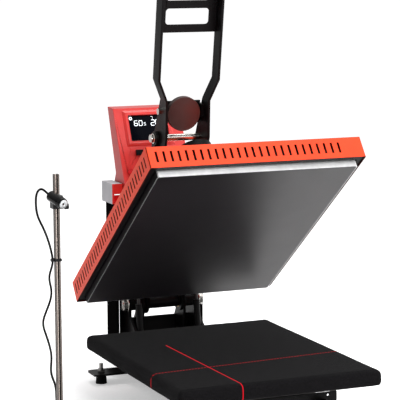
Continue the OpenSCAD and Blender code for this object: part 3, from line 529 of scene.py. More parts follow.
class Finish(Enum):
    """The press's finishes by name."""

    BLACK = PowderCoat("black_powder_coat", (0.0045, 0.0040, 0.0043), 0.36, 0.12, 0.0, 0.1)
    MATT = PowderCoat("matt_black_powder_coat", (0.0035, 0.0030, 0.0032), 0.7, 0.12, 0.0, 0.0)
    CASING = PowderCoat("orange_red_powder_coat", (0.9, 0.052, 0.008), 0.42, 0.1, 0.0, 0.3)
    BOX = PowderCoat("gloss_red_paint", (0.6, 0.024, 0.02), 0.3, 0.05, 0.25, 0.4)
    # Painted shade: a dark copy of the casing red, laid on the casing's inner faces and lower lip.
    SHADE = PowderCoat("casing_painted_shade", (0.05, 0.006, 0.004), 0.6, 0.1, 0.0, 0.1)
    GREY = PowderCoat("grey_sheet_paint", (0.5, 0.51, 0.54), 0.45, 0.1)
    BRIGHT = PlatedMetal("bright_plate", (0.74, 0.71, 0.67), 0.14)
    WORN = PlatedMetal("dulled_zinc", (0.3, 0.29, 0.28), 0.28)
    DARK = PlatedMetal("blackened_steel", (0.06, 0.055, 0.055), 0.38)
    ALUMINIUM = PlatedMetal("brushed_aluminium", (0.93, 0.935, 0.94), 0.42, (6.0, 700.0, 700.0))
    POST = GroovedBar()
    BRONZE = PlatedMetal("bronze", (0.62, 0.42, 0.16), 0.3)
    COPPER = PlatedMetal("varnished_winding", (0.35, 0.09, 0.05), 0.4, (60.0, 60.0, 900.0))
    IRON = PowderCoat("black_cast_iron", (0.003, 0.003, 0.003), 0.24, 0.2, 0.0, 0.12)
    RUBBER = Moulded("black_rubber", (0.003, 0.003, 0.0033), 0.5, 500.0, 0.15, 0.0, 0.1)
    FOAM = Moulded("foam_grip", (0.012, 0.012, 0.013), 0.9, 900.0, 0.6, 0.1)
    PLASTIC = Moulded("black_plastic", (0.0035, 0.0035, 0.004), 0.2, 800.0, 0.02, 0.0, 0.2)
    RED_PLASTIC = Moulded("red_plastic", (0.55, 0.006, 0.01), 0.28, 500.0, 0.04)
    SILICONE = Moulded("silicone", (0.5, 0.16, 0.1), 0.6, 600.0, 0.2)
    WOOL = Moulded("dark_fibre_wool", (0.02, 0.019, 0.018), 0.95, 240.0, 0.8)
    GLASS = Moulded("dark_window", (0.0012, 0.0014, 0.004), 0.1, 300.0, 0.01, 0.0, 0.08)
    SILVER = PlatedMetal("silver_front", (0.72, 0.74, 0.75), 0.42, (300.0, 300.0, 300.0))
    LENS = Moulded("dark_lens", (0.02, 0.004, 0.004), 0.08, 100.0, 0.0)

    def get(self) -> bpy.types.Material:
        """The finish's material, made on first use."""
        made = bpy.data.materials.get(self.value.name + "_finish")
        return made if made else self.value.build()


# ---------------------------------------------------------------- modelling


def only(obj: bpy.types.Object) -> None:
    """Selects one object alone and makes it active.

    Args:
        obj: the object.
    """
    bpy.ops.object.select_all(action="DESELECT")
    obj.select_set(True)
    bpy.context.view_layer.objects.active = obj


def edit(obj: bpy.types.Object, mode: str = "FACE") -> None:
    """Opens an object for editing with nothing selected.

    Args:
        obj: the mesh object.
        mode: what is selected in it: VERT, EDGE or FACE.
    """
    only(obj)
    bpy.ops.object.mode_set(mode="EDIT")
    bpy.ops.mesh.select_mode(type=mode)
    bpy.ops.mesh.select_all(action="DESELECT")


def close() -> None:
    """Leaves edit mode."""
    bpy.ops.object.mode_set(mode="OBJECT")


def pick_faces(obj: bpy.types.Object, wanted: Callable[[bpy.types.MeshPolygon], bool]) -> None:
    """Opens an object for editing with the faces that a test picks.

    Args:
        obj: the mesh object.
        wanted: says if a face is picked.
    """
    edit(obj)
    close()
    for face in obj.data.polygons:
        face.select = bool(wanted(face))
    bpy.ops.object.mode_set(mode="EDIT")


def is_top(face: bpy.types.MeshPolygon) -> bool:
    """Says if a face looks up."""
    return face.normal.z > 0.9


def is_upright(a: Vector, b: Vector) -> bool:
    """Says if an edge between two spots stands upright."""
    return abs(a.z - b.z) > 0.01


def step_in(margin: float, rise: float) -> None:
    """Insets the picked faces by a margin and moves them up."""
    bpy.ops.mesh.inset(thickness=margin)
    bpy.ops.transform.translate(value=(0.0, 0.0, rise))


def add(obj: bpy.types.Object, kind: str, **options: object) -> None:
    """Adds a modifier with its options and applies it.

    Args:
        obj: the mesh object.
        kind: the modifier's type.
        **options: its settings.
    """
    modifier = obj.modifiers.new(kind.lower(), kind)
    for key, value in options.items():
        setattr(modifier, key, value)
    only(obj)
    bpy.ops.object.modifier_apply(modifier=modifier.name)


def ease(obj: bpy.types.Object, width: float, segments: int = 3, angle: float = 40.0) -> None:
    """Rounds the edges that are sharper than an angle.

    Args:
        obj: the mesh object.
        width: the width of the rounding in metres.
        segments: how many strips it has.
        angle: the angle in degrees.
    """
    add(obj, "BEVEL", width=width, segments=segments, limit_method="ANGLE",
        angle_limit=math.radians(angle))


def smooth(obj: bpy.types.Object, angle: float = 35.0) -> None:
    """Shades smooth up to an angle."""
    only(obj)
    bpy.ops.object.shade_smooth_by_angle(angle=math.radians(angle))


def primitive(kind: str, **options: object) -> bpy.types.Object:
    """Adds a primitive with nothing else selected, its place moved into its mesh.

    Args:
        kind: the primitive's name.
        **options: its sizes and place.

    Returns:
        The primitive.
    """
    bpy.ops.object.select_all(action="DESELECT")
    getattr(bpy.ops.mesh, f"primitive_{kind}_add")(**options)
    return settle(bpy.context.active_object)


def rod(radius: float, length: float, sides: int = 48) -> bpy.types.Object:
    """A cylinder along +Z from the origin.

    Args:
        radius: its radius in metres.
        length: its length in metres.
        sides: how many sides it has.

    Returns:
        The cylinder.
    """
    return primitive("cylinder", vertices=sides, radius=radius, depth=length,
                     location=(0.0, 0.0, length / 2.0))


def block(size: tuple, centre: tuple) -> bpy.types.Object:
    """A box.

    Args:
        size: its three sizes in metres.
        centre: the place of its middle.

    Returns:
        The box.
    """
    return primitive("cube", size=1.0, location=centre, scale=size)


def settle(obj: bpy.types.Object) -> bpy.types.Object:
    """Moves an object's place into its mesh.

    Args:
        obj: the object.

    Returns:
        The same object, now at the origin.
    """
    only(obj)
    bpy.ops.object.transform_apply(location=True, rotation=True, scale=True)
    return obj


def carry(obj: bpy.types.Object, place: Matrix) -> None:
    """Carries a mesh drawn at the origin to its place on the press."""
    obj.data.transform(place)
    obj.data.update()


def join(parts: list[bpy.types.Object]) -> bpy.types.Object:
    """Joins pieces into the first one.

    Args:
        parts: the pieces.

    Returns:
        The joined piece.
    """
    bpy.ops.object.select_all(action="DESELECT")
    for part in parts:
        part.select_set(True)
    bpy.context.view_layer.objects.active = parts[0]
    bpy.ops.object.join()
    return parts[0]


def paint(obj: bpy.types.Object, material: bpy.types.Material) -> None:
    """Gives an object one material."""
    obj.data.materials.clear()
    obj.data.materials.append(material)


class Press:
    """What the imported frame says, shared by every sub-assembly."""

    def __init__(self) -> None:
        """Loads the frame and reads its bodies, slots and hinge."""
        self.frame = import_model()
        self.start_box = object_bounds()
        record = self.frame["record"]
        self.body_of = {
            node: body for body, nodes in record["behaviour"]["bodies"].items() for node in nodes
        }
        self.slot_of = {part["node"]: part["material_slot"] for part in record["subparts"]}
        joints = {joint["name"]: joint for joint in self.frame["joints"]}
        self.hinge = Vector(joints["press_close"]["pos_m"])
        self.open_angle = math.radians(joints["press_close"]["range_deg"][1])

    def opened(self) -> Matrix:
        """Turns what is drawn closed to where it stands open."""
        turn = Matrix.Rotation(-self.open_angle, 4, "X")
        return Matrix.Translation(self.hinge) @ turn @ Matrix.Translation(-self.hinge)

    def fit(self, obj: bpy.types.Object, name: str, node: str, replaces: bool = True) -> None:
        """Names a piece, reports it and lets it ride where a CAD node rides.

        Args:
            obj: the finished piece.
            name: its new name.
            node: the CAD node whose body it takes.
            replaces: if the piece stands for that node.
        """
        obj.name = name
        obj.data.name = name
        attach(obj, self.body_of[node])
        if replaces:
            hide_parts(node)
        LOG.info("%s rides on %s", name, self.body_of[node])

    def soften(self, node: str, finish: bpy.types.Material, width: float,
               second: bpy.types.Material | None = None,
               where: Callable[[Vector], bool] = lambda spot: False) -> None:
        """Makes a copy of a node with eased edges stand for it.

        Args:
            node: the CAD node.
            finish: the copy's material.
            width: the width of the eased edge in metres.
            second: another material for some of its faces.
            where: says from a face's centre if it takes the second one.
        """
        source = self.frame["nodes"][node]
        copy = source.copy()
        copy.data = source.data.copy()
        copy.parent = None
        bpy.context.scene.collection.objects.link(copy)
        edit(copy, "VERT")
        bpy.ops.mesh.select_all(action="SELECT")
        bpy.ops.mesh.remove_doubles(threshold=0.000002)
        close()
        add(copy, "BEVEL", width=width, segments=2, limit_method="ANGLE",
            angle_limit=math.radians(32.0), use_clamp_overlap=True,
            miter_outer="MITER_ARC")
        smooth(copy, 40.0)
        add(copy, "WEIGHTED_NORMAL", weight=100, keep_sharp=True)
        paint(copy, finish)
        if second:
            copy.data.materials.append(second)
            for face in copy.data.polygons:
                face.material_index = int(where(face.center))
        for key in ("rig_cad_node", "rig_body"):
            if key in copy:
                del copy[key]
        self.fit(copy, node + "_eased", node)

    def dress(self, node: str, finish: bpy.types.Material) -> None:
        """Gives a CAD node its finish as it is."""
        paint(self.frame["nodes"][node], finish)
        LOG.info("%s keeps its CAD shape", node)


# ---------------------------------------------------------------- platen


@dataclass
class Platen:
    """Lower platen with its padded cloth cover."""

    press: Press
    corner: float = 0.0030
    edge: float = 0.0045
    bulge: float = 0.0030
    slack: float = 0.0008
    top_slack: float = 0.0008
    voxel: float = 0.004
    sag: float = 0.0010
    cap: float = 0.0016
    frames: int = 16
    plate_end: float = 0.2445
    side_band: float = 0.003
    top_band: float = 0.008
    hem_height: float = 0.008
    side_height: float = 0.030

    def build(self) -> None:
        """Makes the cover and dresses the plate below it."""
        self.pad()
        self.press.soften("lower_platen", Finish.ALUMINIUM.get(), 0.0006, Finish.DARK.get(),
                          lambda spot: abs(spot.y) > self.plate_end)
        self.press.soften("platen_rails", Finish.BLACK.get(), 0.0006)
        self.cover()

    def pad(self) -> None:
        """Silicone pad below the cloth, with well rounded edges."""
        low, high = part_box("silicone_pad")
        body = block(tuple(high - low), tuple((low + high) / 2))
        self.round_edges(body, is_upright, self.corner * 1.5)
        self.round_edges(body, lambda a, b: min(a.z, b.z) > low.z + 0.01, self.corner)
        smooth(body, 40.0)
        paint(body, Finish.SILICONE.get())
        self.press.fit(body, "silicone_pad_rounded", "silicone_pad")

    def cover(self) -> None:
        """Pad of black cloth: an eased slab, swelled by a cloth simulation, with a sewn hem."""
        low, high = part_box("platen_cover")
        size = high - low
        body = block((size.x - 2 * self.slack, size.y - 2 * self.slack, size.z - self.top_slack),
                     (0.0, 0.0, low.z + (size.z - self.top_slack) / 2))
        self.round_edges(body, is_upright, self.corner)
        self.round_edges(body, lambda a, b: min(a.z, b.z) > low.z + 0.01, self.edge)
        self.swell(body, high.z)
        add(body, "SUBSURF", levels=1, render_levels=1)
        self.hem(body, low.z)
        smooth(body, 60.0)
        paint(body, CoverCloth().build())
        self.press.fit(body, "platen_cover_cloth", "platen_cover")

    def round_edges(self, body: bpy.types.Object, wanted: Callable[[Vector, Vector], bool],
                    radius: float) -> None:
        """Rounds the edges that a test picks by their two ends.

        Args:
            body: the mesh object.
            wanted: says from an edge's two ends if it is rounded.
            radius: the radius in metres.
        """
        edit(body, "EDGE")
        close()
        spots = [vertex.co for vertex in body.data.vertices]
        for line in body.data.edges:
            line.select = wanted(*(spots[i] for i in line.vertices))
        bpy.ops.object.mode_set(mode="EDIT")
        bpy.ops.mesh.bevel(offset=radius, segments=5, affect="EDGES")
        close()

    def swell(self, body: bpy.types.Object, top: float) -> None:
        """Swells the slab under pressure and keeps it within its space.

        Args:
            body: the slab.
            top: the height that it may not pass.
        """
        add(body, "REMESH", mode="VOXEL", voxel_size=self.voxel)
        before = [vertex.co.copy() for vertex in body.data.vertices]
        cloth = body.modifiers.new("cloth", "CLOTH")
        settings = cloth.settings
        settings.use_pressure = True
        settings.uniform_pressure_force = 3.0
        settings.tension_stiffness = 22.0
        settings.compression_stiffness = 22.0
        settings.bending_stiffness = 1.2
        settings.quality = 4
        settings.effector_weights.gravity = 0.0
        cloth.collision_settings.use_collision = False
        cloth.point_cache.frame_start, cloth.point_cache.frame_end = 1, self.frames
        for number in range(1, self.frames + 1):
            bpy.context.scene.frame_set(number)
        only(body)
        bpy.ops.object.modifier_apply(modifier=cloth.name)
        bpy.context.scene.frame_set(1)
        half = (max(point.x for point in before), max(point.y for point in before))
        low = min(point.z for point in before)
        for vertex, was in zip(body.data.vertices, before):
            move = vertex.co - was
            if move.length > self.cap:
                move.length = self.cap
            spot = was + move
            for axis in (0, 1):
                if abs(was[axis]) > half[axis] - self.side_band:
                    least = abs(was[axis]) - 0.0003
                    most = half[axis] + self.slack + 0.0004
                    spot[axis] = math.copysign(min(max(abs(spot[axis]), least), most), was[axis])
            floor = was.z - 0.0004 if was.z > top - self.top_band else low
            spot.z = max(floor, min(spot.z, top - 0.0001))
            vertex.co = spot

    def hem(self, body: bpy.types.Object, low: float) -> None:
        """Draws the cover's lower edge in a little and lets its sides wave softly.

        Args:
            body: the cover.
            low: the height of its lower edge.
        """
        half = (max(vertex.co.x for vertex in body.data.vertices),
                max(vertex.co.y for vertex in body.data.vertices))
        for vertex in body.data.vertices:
            x, y, z = vertex.co
            drop = max(0.0, 1.0 - (z - low) / self.hem_height)
            level = min(1.0, max(0.0, (z - low) / self.side_height))
            full = max(0.0, math.sin(math.pi * level ** 0.85)) ** 0.5
            wave = math.sin(x * 61.0 + 0.7) * math.cos(y * 47.0) * self.sag * 0.4
            shift = self.bulge * full + wave * full - 0.0004 * drop * drop
            for axis, place in ((0, x), (1, y)):
                near = max(0.0, min(1.0, (abs(place) - half[axis] + 0.010) / 0.008))
                vertex.co[axis] = place + math.copysign(shift * near, place)


# ---------------------------------------------------------------- heater


@dataclass
class Heater:
    """Slotted casing, heating plate and pressure gear, all tilted back with the carrier."""

    press: Press
    edge: float = 0.0003
    casing_low: float = 0.1372
    casing_high: tuple = (0.2146, 0.2646, 0.1796)
    plate_end: float = 0.1992

    def build(self) -> None:
        """Dresses the heater and the carrier."""
        press = self.press
        low, high = self.casing_low, self.casing_high
        back = press.opened().inverted()

        def inside(spot: Vector) -> bool:
            """Says if a face is on the casing's inner side or on its lower lip, where painted shade
            goes.

            Args:
                spot: the face's centre.

            Returns:
                True if it is.
            """
            flat = back @ spot
            within = abs(flat.x) <= high[0] and abs(flat.y) <= high[1] and flat.z <= high[2]
            return within or flat.z < low

        # The casing's inner faces and lower lip take painted shade instead of the red.
        press.soften("heater_casing", Finish.CASING.get(), self.edge, Finish.SHADE.get(), inside)
        press.soften("inner_frame", Finish.BLACK.get(), 0.0005)
        press.soften("heating_plate", Finish.ALUMINIUM.get(), 0.0008, Finish.DARK.get(),
                     lambda spot: abs(spot.x) > self.plate_end)
        press.dress("nonstick_sheet", NonStick(tilt=press.open_angle).build())
        press.dress("heating_element", Finish.DARK.get())
        press.dress("insulation", Finish.WOOL.get())
        press.soften("mount_plate", Finish.BLACK.get(), 0.0008)
        press.soften("spindle", Finish.BRIGHT.get(), 0.0003)
        press.soften("pressure_wheel", Finish.PLASTIC.get(), 0.0012)
        press.soften("wheel_retainer", Finish.DARK.get(), 0.0005)
        press.soften("bridge", Finish.BLACK.get(), 0.0008)
        press.soften("electromagnet", Finish.IRON.get(), 0.0008)
        press.dress("magnet_coil", Finish.COPPER.get())


@dataclass
class Carrier:
    """Arms that carry the heater, with their bushes, bolts and studs."""

    press: Press

    def build(self) -> None:
        """Dresses the carrier."""
        for side in ("left", "right"):
            self.press.soften(f"carrier_arm_{side}", Finish.BLACK.get(), 0.0004)
        self.press.soften("bridge_bolts", Finish.BRIGHT.get(), 0.0003)
        self.press.dress("hinge_bushes", Finish.BRONZE.get())
        self.press.soften("handle_pivot", Finish.BRIGHT.get(), 0.0004)
        self.press.soften("spring_studs", Finish.BRIGHT.get(), 0.0004)
        self.press.soften("links", Finish.BLACK.get(), 0.0004)
        self.press.soften("gas_spring_tubes", Finish.BLACK.get(), 0.0003)
        self.press.soften("gas_spring_rods", Finish.DARK.get(), 0.0003)


# ---------------------------------------------------------------- handle


@dataclass
class Handle:
    """Tall handle with its foam grip, armature disc and rod."""

    press: Press
    lean: float = math.radians(9.0)
    grip_radius: float = 0.015
    disc_radius: float = 0.035
    disc_thickness: float = 0.012
    washer_radius: float = 0.0105
    washer_height: float = 0.0013
    nut_radius: float = 0.0092
    nut_height: float = 0.0065
    bar_radius: float = 0.0089
    bar_end: float = 0.011
    bracket_end: float = 0.0495

    def build(self) -> None:
        """Dresses the handle and models its grip."""
        press = self.press
        press.soften("handle_frame", Finish.BLACK.get(), 0.0009)
        press.soften("disc_bracket", Finish.BLACK.get(), 0.0004, Finish.BRIGHT.get(),
                     lambda spot: abs(spot.x) > self.bracket_end)
        press.soften("handle_rod", Finish.BRIGHT.get(), 0.0004)
        self.nuts()
        self.disc()
        self.grip()

    def nuts(self) -> None:
        """Washer and chamfered nut on both ends of the rod."""
        low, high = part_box("rod_nuts")
        middle = (low + high) / 2
        reach = high.x - self.nut_height
        made = []
        for side in (-1.0, 1.0):
            washer = rod(self.washer_radius, self.washer_height)
            pick_faces(washer, is_top)
            step_in(0.0008, 0.0002)
            close()
            nut = rod(self.nut_radius, self.nut_height, 6)
            pick_faces(nut, is_top)
            bpy.ops.mesh.inset(thickness=0.0010)
            close()
            ease(nut, 0.0008)
            pair = join([washer, nut])
            turn = Matrix.Rotation(math.radians(90.0) * side, 4, "Y")
            carry(pair, Matrix.Translation((side * reach, middle.y, middle.z)) @ turn)
            made.append(pair)
        both = join(made)
        smooth(both, 35.0)
        paint(both, Finish.BRIGHT.get())
        self.press.fit(both, "rod_nuts_chamfered", "rod_nuts")

    def disc(self) -> None:
        """Armature disc with a turned step inside its rounded rim."""
        low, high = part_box("armature_disc")
        middle = (low + high) / 2
        disc = rod(self.disc_radius, self.disc_thickness, 96)
        carry(disc, Matrix.Translation((0.0, 0.0, -self.disc_thickness / 2)))
        pick_faces(disc, is_top)
        bpy.ops.mesh.inset(thickness=0.0022)
        step_in(0.0003, -0.0002)
        close()
        ease(disc, 0.0009, angle=60.0)
        smooth(disc, 30.0)
        add(disc, "WEIGHTED_NORMAL", weight=100, keep_sharp=True)
        turn = Matrix.Rotation(math.radians(90.0) + self.lean, 4, "X")
        carry(disc, Matrix.Translation(middle) @ turn)
        paint(disc, TurnedFace().build())
        self.press.fit(disc, "turned_disc", "armature_disc")

    def grip(self) -> None:
        """Foam sleeve with rounded ends, on the handle's top bar."""
        low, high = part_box("handle_grip")
        middle = (low + high) / 2
        length = high.x - low.x
        bar = rod(self.bar_radius, length, 40)
        sleeve = rod(self.grip_radius, length - 2 * self.bar_end, 56)
        carry(sleeve, Matrix.Translation((0.0, 0.0, self.bar_end)))
        pick_faces(sleeve, lambda face: abs(face.normal.z) > 0.9)
        bpy.ops.mesh.inset(thickness=0.003)
        close()
        ease(sleeve, 0.0025, 4)
        whole = join([sleeve, bar])
        turn = Matrix.Rotation(math.radians(90.0), 4, "Y")
        place = Matrix.Translation(middle) @ turn @ Matrix.Translation((0.0, 0.0, -length / 2))
        carry(whole, place)
        smooth(whole, 40.0)
        paint(whole, Finish.FOAM.get())
        self.press.fit(whole, "foam_grip", "handle_grip")


# ---------------------------------------------------------------- control box


@dataclass
class ControlBox:
    """Leaning control box with its raised window frame, lit figures and switches."""

    press: Press
    lean: float = math.radians(24.2)
    panel_length: float = 0.185
    window_x: float = -0.005
    window_s: float = 0.045
    window: tuple = (0.086, 0.057)
    surround: float = 0.011
    surround_height: float = 0.0028
    glass_depth: float = 0.0029
    readout: tuple = (
        ("6", 0.0110, (-0.0290, 0.0065)), ("0", 0.0110, (-0.0186, 0.0065)),
        ("5", 0.0058, (-0.0075, 0.0070)), ("2", 0.0120, (0.0085, 0.0060)),
        ("0", 0.0120, (0.0185, 0.0060)), ("0", 0.0120, (0.0285, 0.0060)),
        ("7", 0.0062, (0.0090, 0.0195)),
    )
    ring_spot: tuple = (-0.0362, 0.0228)

    def build(self) -> None:
        """Dresses the box and adds what is on its panel."""
        press = self.press
        press.soften("control_box", Finish.BOX.get(), 0.0011)
        press.soften("box_back", Finish.BLACK.get(), 0.0004)
        low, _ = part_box("power_box")
        press.soften("power_box", Finish.GREY.get(), 0.0008, Finish.BOX.get(),
                     lambda spot: spot.y < low.y + 0.0005 and spot.x < 0.0)
        press.soften("rocker_switch", Finish.RED_PLASTIC.get(), 0.0006)
        press.soften("setting_button", Finish.PLASTIC.get(), 0.0009)
        press.soften("red_button", Finish.RED_PLASTIC.get(), 0.0006)
        press.dress("transformer", Finish.IRON.get())
        press.dress("display", Finish.GLASS.get())
        self.frame_round_window()
        self.figures()

    def panel(self, x: float, s: float) -> Matrix:
        """Frame on the panel: +Z out of it and +Y up it.

        Args:
            x: place across the box.
            s: distance down from the panel's top edge.

        Returns:
            The place on the press.
        """
        foot_y = self.press.hinge.y - 0.002
        foot_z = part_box("control_box")[0].z
        rise = self.panel_length - s
        place = (x, foot_y + rise * math.sin(self.lean), foot_z + rise * math.cos(self.lean))
        return Matrix.Translation(place) @ Matrix.Rotation(math.radians(90.0) - self.lean, 4, "X")

    def frame_round_window(self) -> None:
        """Raised frame with sloping sides round the window."""
        width, height = self.window
        outer = (width + 2 * self.surround, height + 2 * self.surround, 0.0004)
        frame = block(outer, (0.0, 0.0, 0.0002))
        pick_faces(frame, is_top)
        step_in(self.surround * 0.5, self.surround_height)
        bpy.ops.mesh.inset(thickness=self.surround * 0.5 - 0.0002)
        bpy.ops.mesh.delete(type="FACE")
        close()
        pick_faces(frame, lambda face: face.normal.z < -0.9)
        bpy.ops.mesh.inset(thickness=self.surround)
        bpy.ops.mesh.delete(type="FACE")
        close()
        edit(frame, "EDGE")
        bpy.ops.mesh.select_non_manifold()
        bpy.ops.mesh.bridge_edge_loops()
        bpy.ops.mesh.select_all(action="SELECT")
        bpy.ops.mesh.normals_make_consistent(inside=False)
        close()
        ease(frame, 0.0008, angle=14.0)
        smooth(frame, 40.0)
        carry(frame, self.panel(self.window_x, self.window_s))
        paint(frame, Finish.BOX.get())
        self.press.fit(frame, "window_frame", "control_box", replaces=False)

    def figures(self) -> None:
        """Lit figures made of seven bars each, and a small ring, just proud of the window."""
        lift = -self.glass_depth
        made = []
        for digit, size, spot in self.readout:
            made += self.digit(digit, size, spot, lift)
        ring = primitive("torus", major_radius=0.0027, minor_radius=0.0009,
                         major_segments=32, minor_segments=8)
        flatten = Matrix.Diagonal((1.0, 1.0, 0.12, 1.0))
        carry(ring, Matrix.Translation((*self.ring_spot, lift)) @ flatten)
        whole = join(made + [ring])
        carry(whole, self.panel(self.window_x, self.window_s))
        paint(whole, Glow().build())
        self.press.fit(whole, "lit_figures", "display", replaces=False)

    def digit(self, name: str, height: float, spot: tuple, lift: float) -> list[bpy.types.Object]:
        """Bars of one figure.

        Args:
            name: the figure.
            height: how tall it is.
            spot: its lower left corner on the window.
            lift: its height on the panel's frame.

        Returns:
            The lit bars.
        """
        lit = {"0": "abcdef", "2": "abged", "5": "afgcd", "6": "afgecd", "7": "abc"}[name]
        wide, thick = height * 0.64, height * 0.1
        half = height / 2
        places = {"a": (wide / 2, height, 1), "g": (wide / 2, half, 1), "d": (wide / 2, 0.0, 1),
                  "f": (0.0, half * 1.5, 0), "b": (wide, half * 1.5, 0),
                  "e": (0.0, half * 0.5, 0), "c": (wide, half * 0.5, 0)}
        bars = []
        for bar in lit:
            x, y, flat = places[bar]
            across, up = (wide - thick * 0.7, thick) if flat else (thick, half - thick * 0.7)
            centre = (spot[0] + x + (y - half) * 0.09, spot[1] + y, lift)
            bars.append(block((across, up, 0.0002), centre))
        return bars


# ---------------------------------------------------------------- base


@dataclass
class Base:
    """Base channel, feet, hinge stand and columns."""

    press: Press
    coated: dict = field(default_factory=lambda: {
        "base_channel": 0.0008, "front_panel": 0.0006, "foot_bars": 0.0008,
        "hinge_plate_left": 0.0006, "hinge_plate_right": 0.0006, "hinge_bracket": 0.0006,
    })

    def build(self) -> None:
        """Dresses the base."""
        press = self.press
        for node, width in self.coated.items():
            press.soften(node, Finish.BLACK.get(), width)
        for side in ("left", "right"):
            press.soften(f"column_{side}", Finish.MATT.get(), 0.0006)
        press.soften("foot_bolts", Finish.WORN.get(), 0.0004)
        for node in ("base_bolts", "hinge_shaft", "hinge_nuts", "link_studs"):
            press.soften(node, Finish.BRIGHT.get(), 0.0004)
        press.soften("hinge_spacers", Finish.BLACK.get(), 0.0004)
        press.soften("rubber_feet", Finish.RUBBER.get(), 0.0012)
        press.soften("lock_knob", Finish.PLASTIC.get(), 0.0012)


# ---------------------------------------------------------------- laser


@dataclass
class Laser:
    """Post, clamp, head and lead of the cross-line laser."""

    press: Press
    head_place: tuple = (-0.349, -0.032, 0.444)
    pitch: float = math.radians(16.0)
    yaw: float = math.radians(-73.0)
    radius: float = 0.010
    length: float = 0.040
    ridge_start: float = 0.0088
    ridge_pitch: float = 0.0026
    relief_radius: float = 0.0034
    relief_length: float = 0.009
    front_margin: float = 0.0018
    front_height: float = 0.0022
    lens_radius: float = 0.0017
    lead_radius: float = 0.0021
    route: tuple = (
        (-357, -4, 452), (-360, 2, 456), (-364, 6, 460), (-369, 7, 460), (-374, 6, 456),
        (-377, 5, 448), (-378, 4, 438), (-378, 3, 424), (-375, 2, 408), (-368, 0, 394),
        (-362, 0, 380), (-357, 0, 366), (-353, 0, 352), (-350, 0, 338), (-349, 0, 330),
        (-349, 0, 322), (-352, 0, 312), (-356, 0, 301), (-356, 0, 290), (-353, 0, 278),
        (-352, 0, 268), (-354, 0, 255), (-360, 0, 240), (-367, 0, 225), (-370, 0, 213),
        (-368, 0, 201), (-362, 0, 184), (-356, 0, 163), (-354, 0, 148), (-355, 1, 133),
        (-355, 4, 118), (-350, 9, 104), (-344, 12, 92), (-342, 13, 76), (-342, 13, 58),
        (-341, 13, 44), (-335, 14, 36), (-322, 16, 34), (-300, 17, 34), (-270, 17, 34),
        (-240, 17, 34), (-200, 17, 34), (-160, 17, 34), (-125, 17, 34), (-96, 17, 34),
    )

    def build(self) -> None:
        """Dresses the post and models the head and the lead."""
        self.press.soften("laser_post", Finish.POST.get(), 0.0004)
        self.press.soften("laser_clamp", Finish.PLASTIC.get(), 0.0006)
        self.head()
        self.lead()

    def aim(self) -> Matrix:
        """The head's frame: +Z out of its front.

        Returns:
            The head's place on the press.
        """
        turn = Matrix.Rotation(self.yaw, 4, "Z") @ Matrix.Rotation(self.pitch, 4, "Y")
        forward = Matrix.Rotation(math.radians(90.0), 4, "Y")
        return Matrix.Translation(self.head_place) @ turn @ forward

    def head(self) -> None:
        """Ribbed barrel, silver front with its dark lens, and the strain relief."""
        barrel = rod(self.radius, self.length, 64)
        carry(barrel, Matrix.Translation((0.0, 0.0, -self.length / 2)))
        pick_faces(barrel, is_top)
        step_in(0.0014, -0.0012)
        close()
        ease(barrel, 0.0008)
        ridges = [barrel]
        for i in range(3):
            height = self.ridge_start + i * self.ridge_pitch
            ridges.append(primitive("torus", major_radius=self.radius - 0.0001, minor_radius=0.0005,
                                    major_segments=64, minor_segments=8,
                                    location=(0.0, 0.0, height)))
        relief = rod(self.relief_radius, self.relief_length, 32)
        carry(relief, Matrix.Translation((0.0, 0.0, -self.length / 2 - 0.0086)))
        ease(relief, 0.0009)
        whole = join(ridges + [relief])
        smooth(whole, 40.0)
        carry(whole, self.aim())
        paint(whole, Finish.PLASTIC.get())
        self.press.fit(whole, "laser_barrel", "laser_head")
        self.front()

    def front(self) -> None:
        """Silver front ring with a dark lens in its middle."""
        disc = rod(self.radius - self.front_margin, self.front_height, 64)
        pick_faces(disc, is_top)
        step_in(0.0046, 0.0007)
        step_in(0.0014, -0.0012)
        close()
        ease(disc, 0.0004, angle=30.0)
        smooth(disc, 40.0)
        carry(disc, self.aim() @ Matrix.Translation((0.0, 0.0, self.length / 2 - 0.0006)))
        paint(disc, Finish.SILVER.get())
        self.press.fit(disc, "laser_front", "laser_head", replaces=False)
        lens = primitive("uv_sphere", radius=self.lens_radius, segments=24, ring_count=12)
        pick_faces(lens, lambda face: face.center.z < -0.0002)
        bpy.ops.transform.resize(value=(1.0, 1.0, 0.3))
        close()
        carry(lens, self.aim() @ Matrix.Translation((0.0, 0.0, self.length / 2 + 0.0011)))
        smooth(lens, 180.0)
        paint(lens, Finish.LENS.get())
        self.press.fit(lens, "laser_lens", "laser_head", replaces=False)

    def lead(self) -> None:
        """One smooth round lead along its held route."""
        curve = bpy.data.curves.new("laser_lead_line", "CURVE")
        curve.dimensions = "3D"
        curve.bevel_depth = self.lead_radius
        curve.bevel_resolution = 4
        curve.resolution_u = 6
        curve.use_fill_caps = True
        line = curve.splines.new("NURBS")
        line.points.add(len(self.route) - 1)
        for point, (x, y, z) in zip(line.points, self.route):
            point.co = (x * MM, y * MM, z * MM, 1.0)
        line.order_u = 4
        line.use_endpoint_u = True
        lead = bpy.data.objects.new("laser_lead_line", curve)
        bpy.context.scene.collection.objects.link(lead)
        only(lead)
        bpy.ops.object.convert(target="MESH")
        lead = bpy.context.active_object
        smooth(lead, 60.0)
        paint(lead, Finish.RUBBER.get())
        self.press.fit(lead, "laser_lead_round", "laser_lead")


# ---------------------------------------------------------------- studio


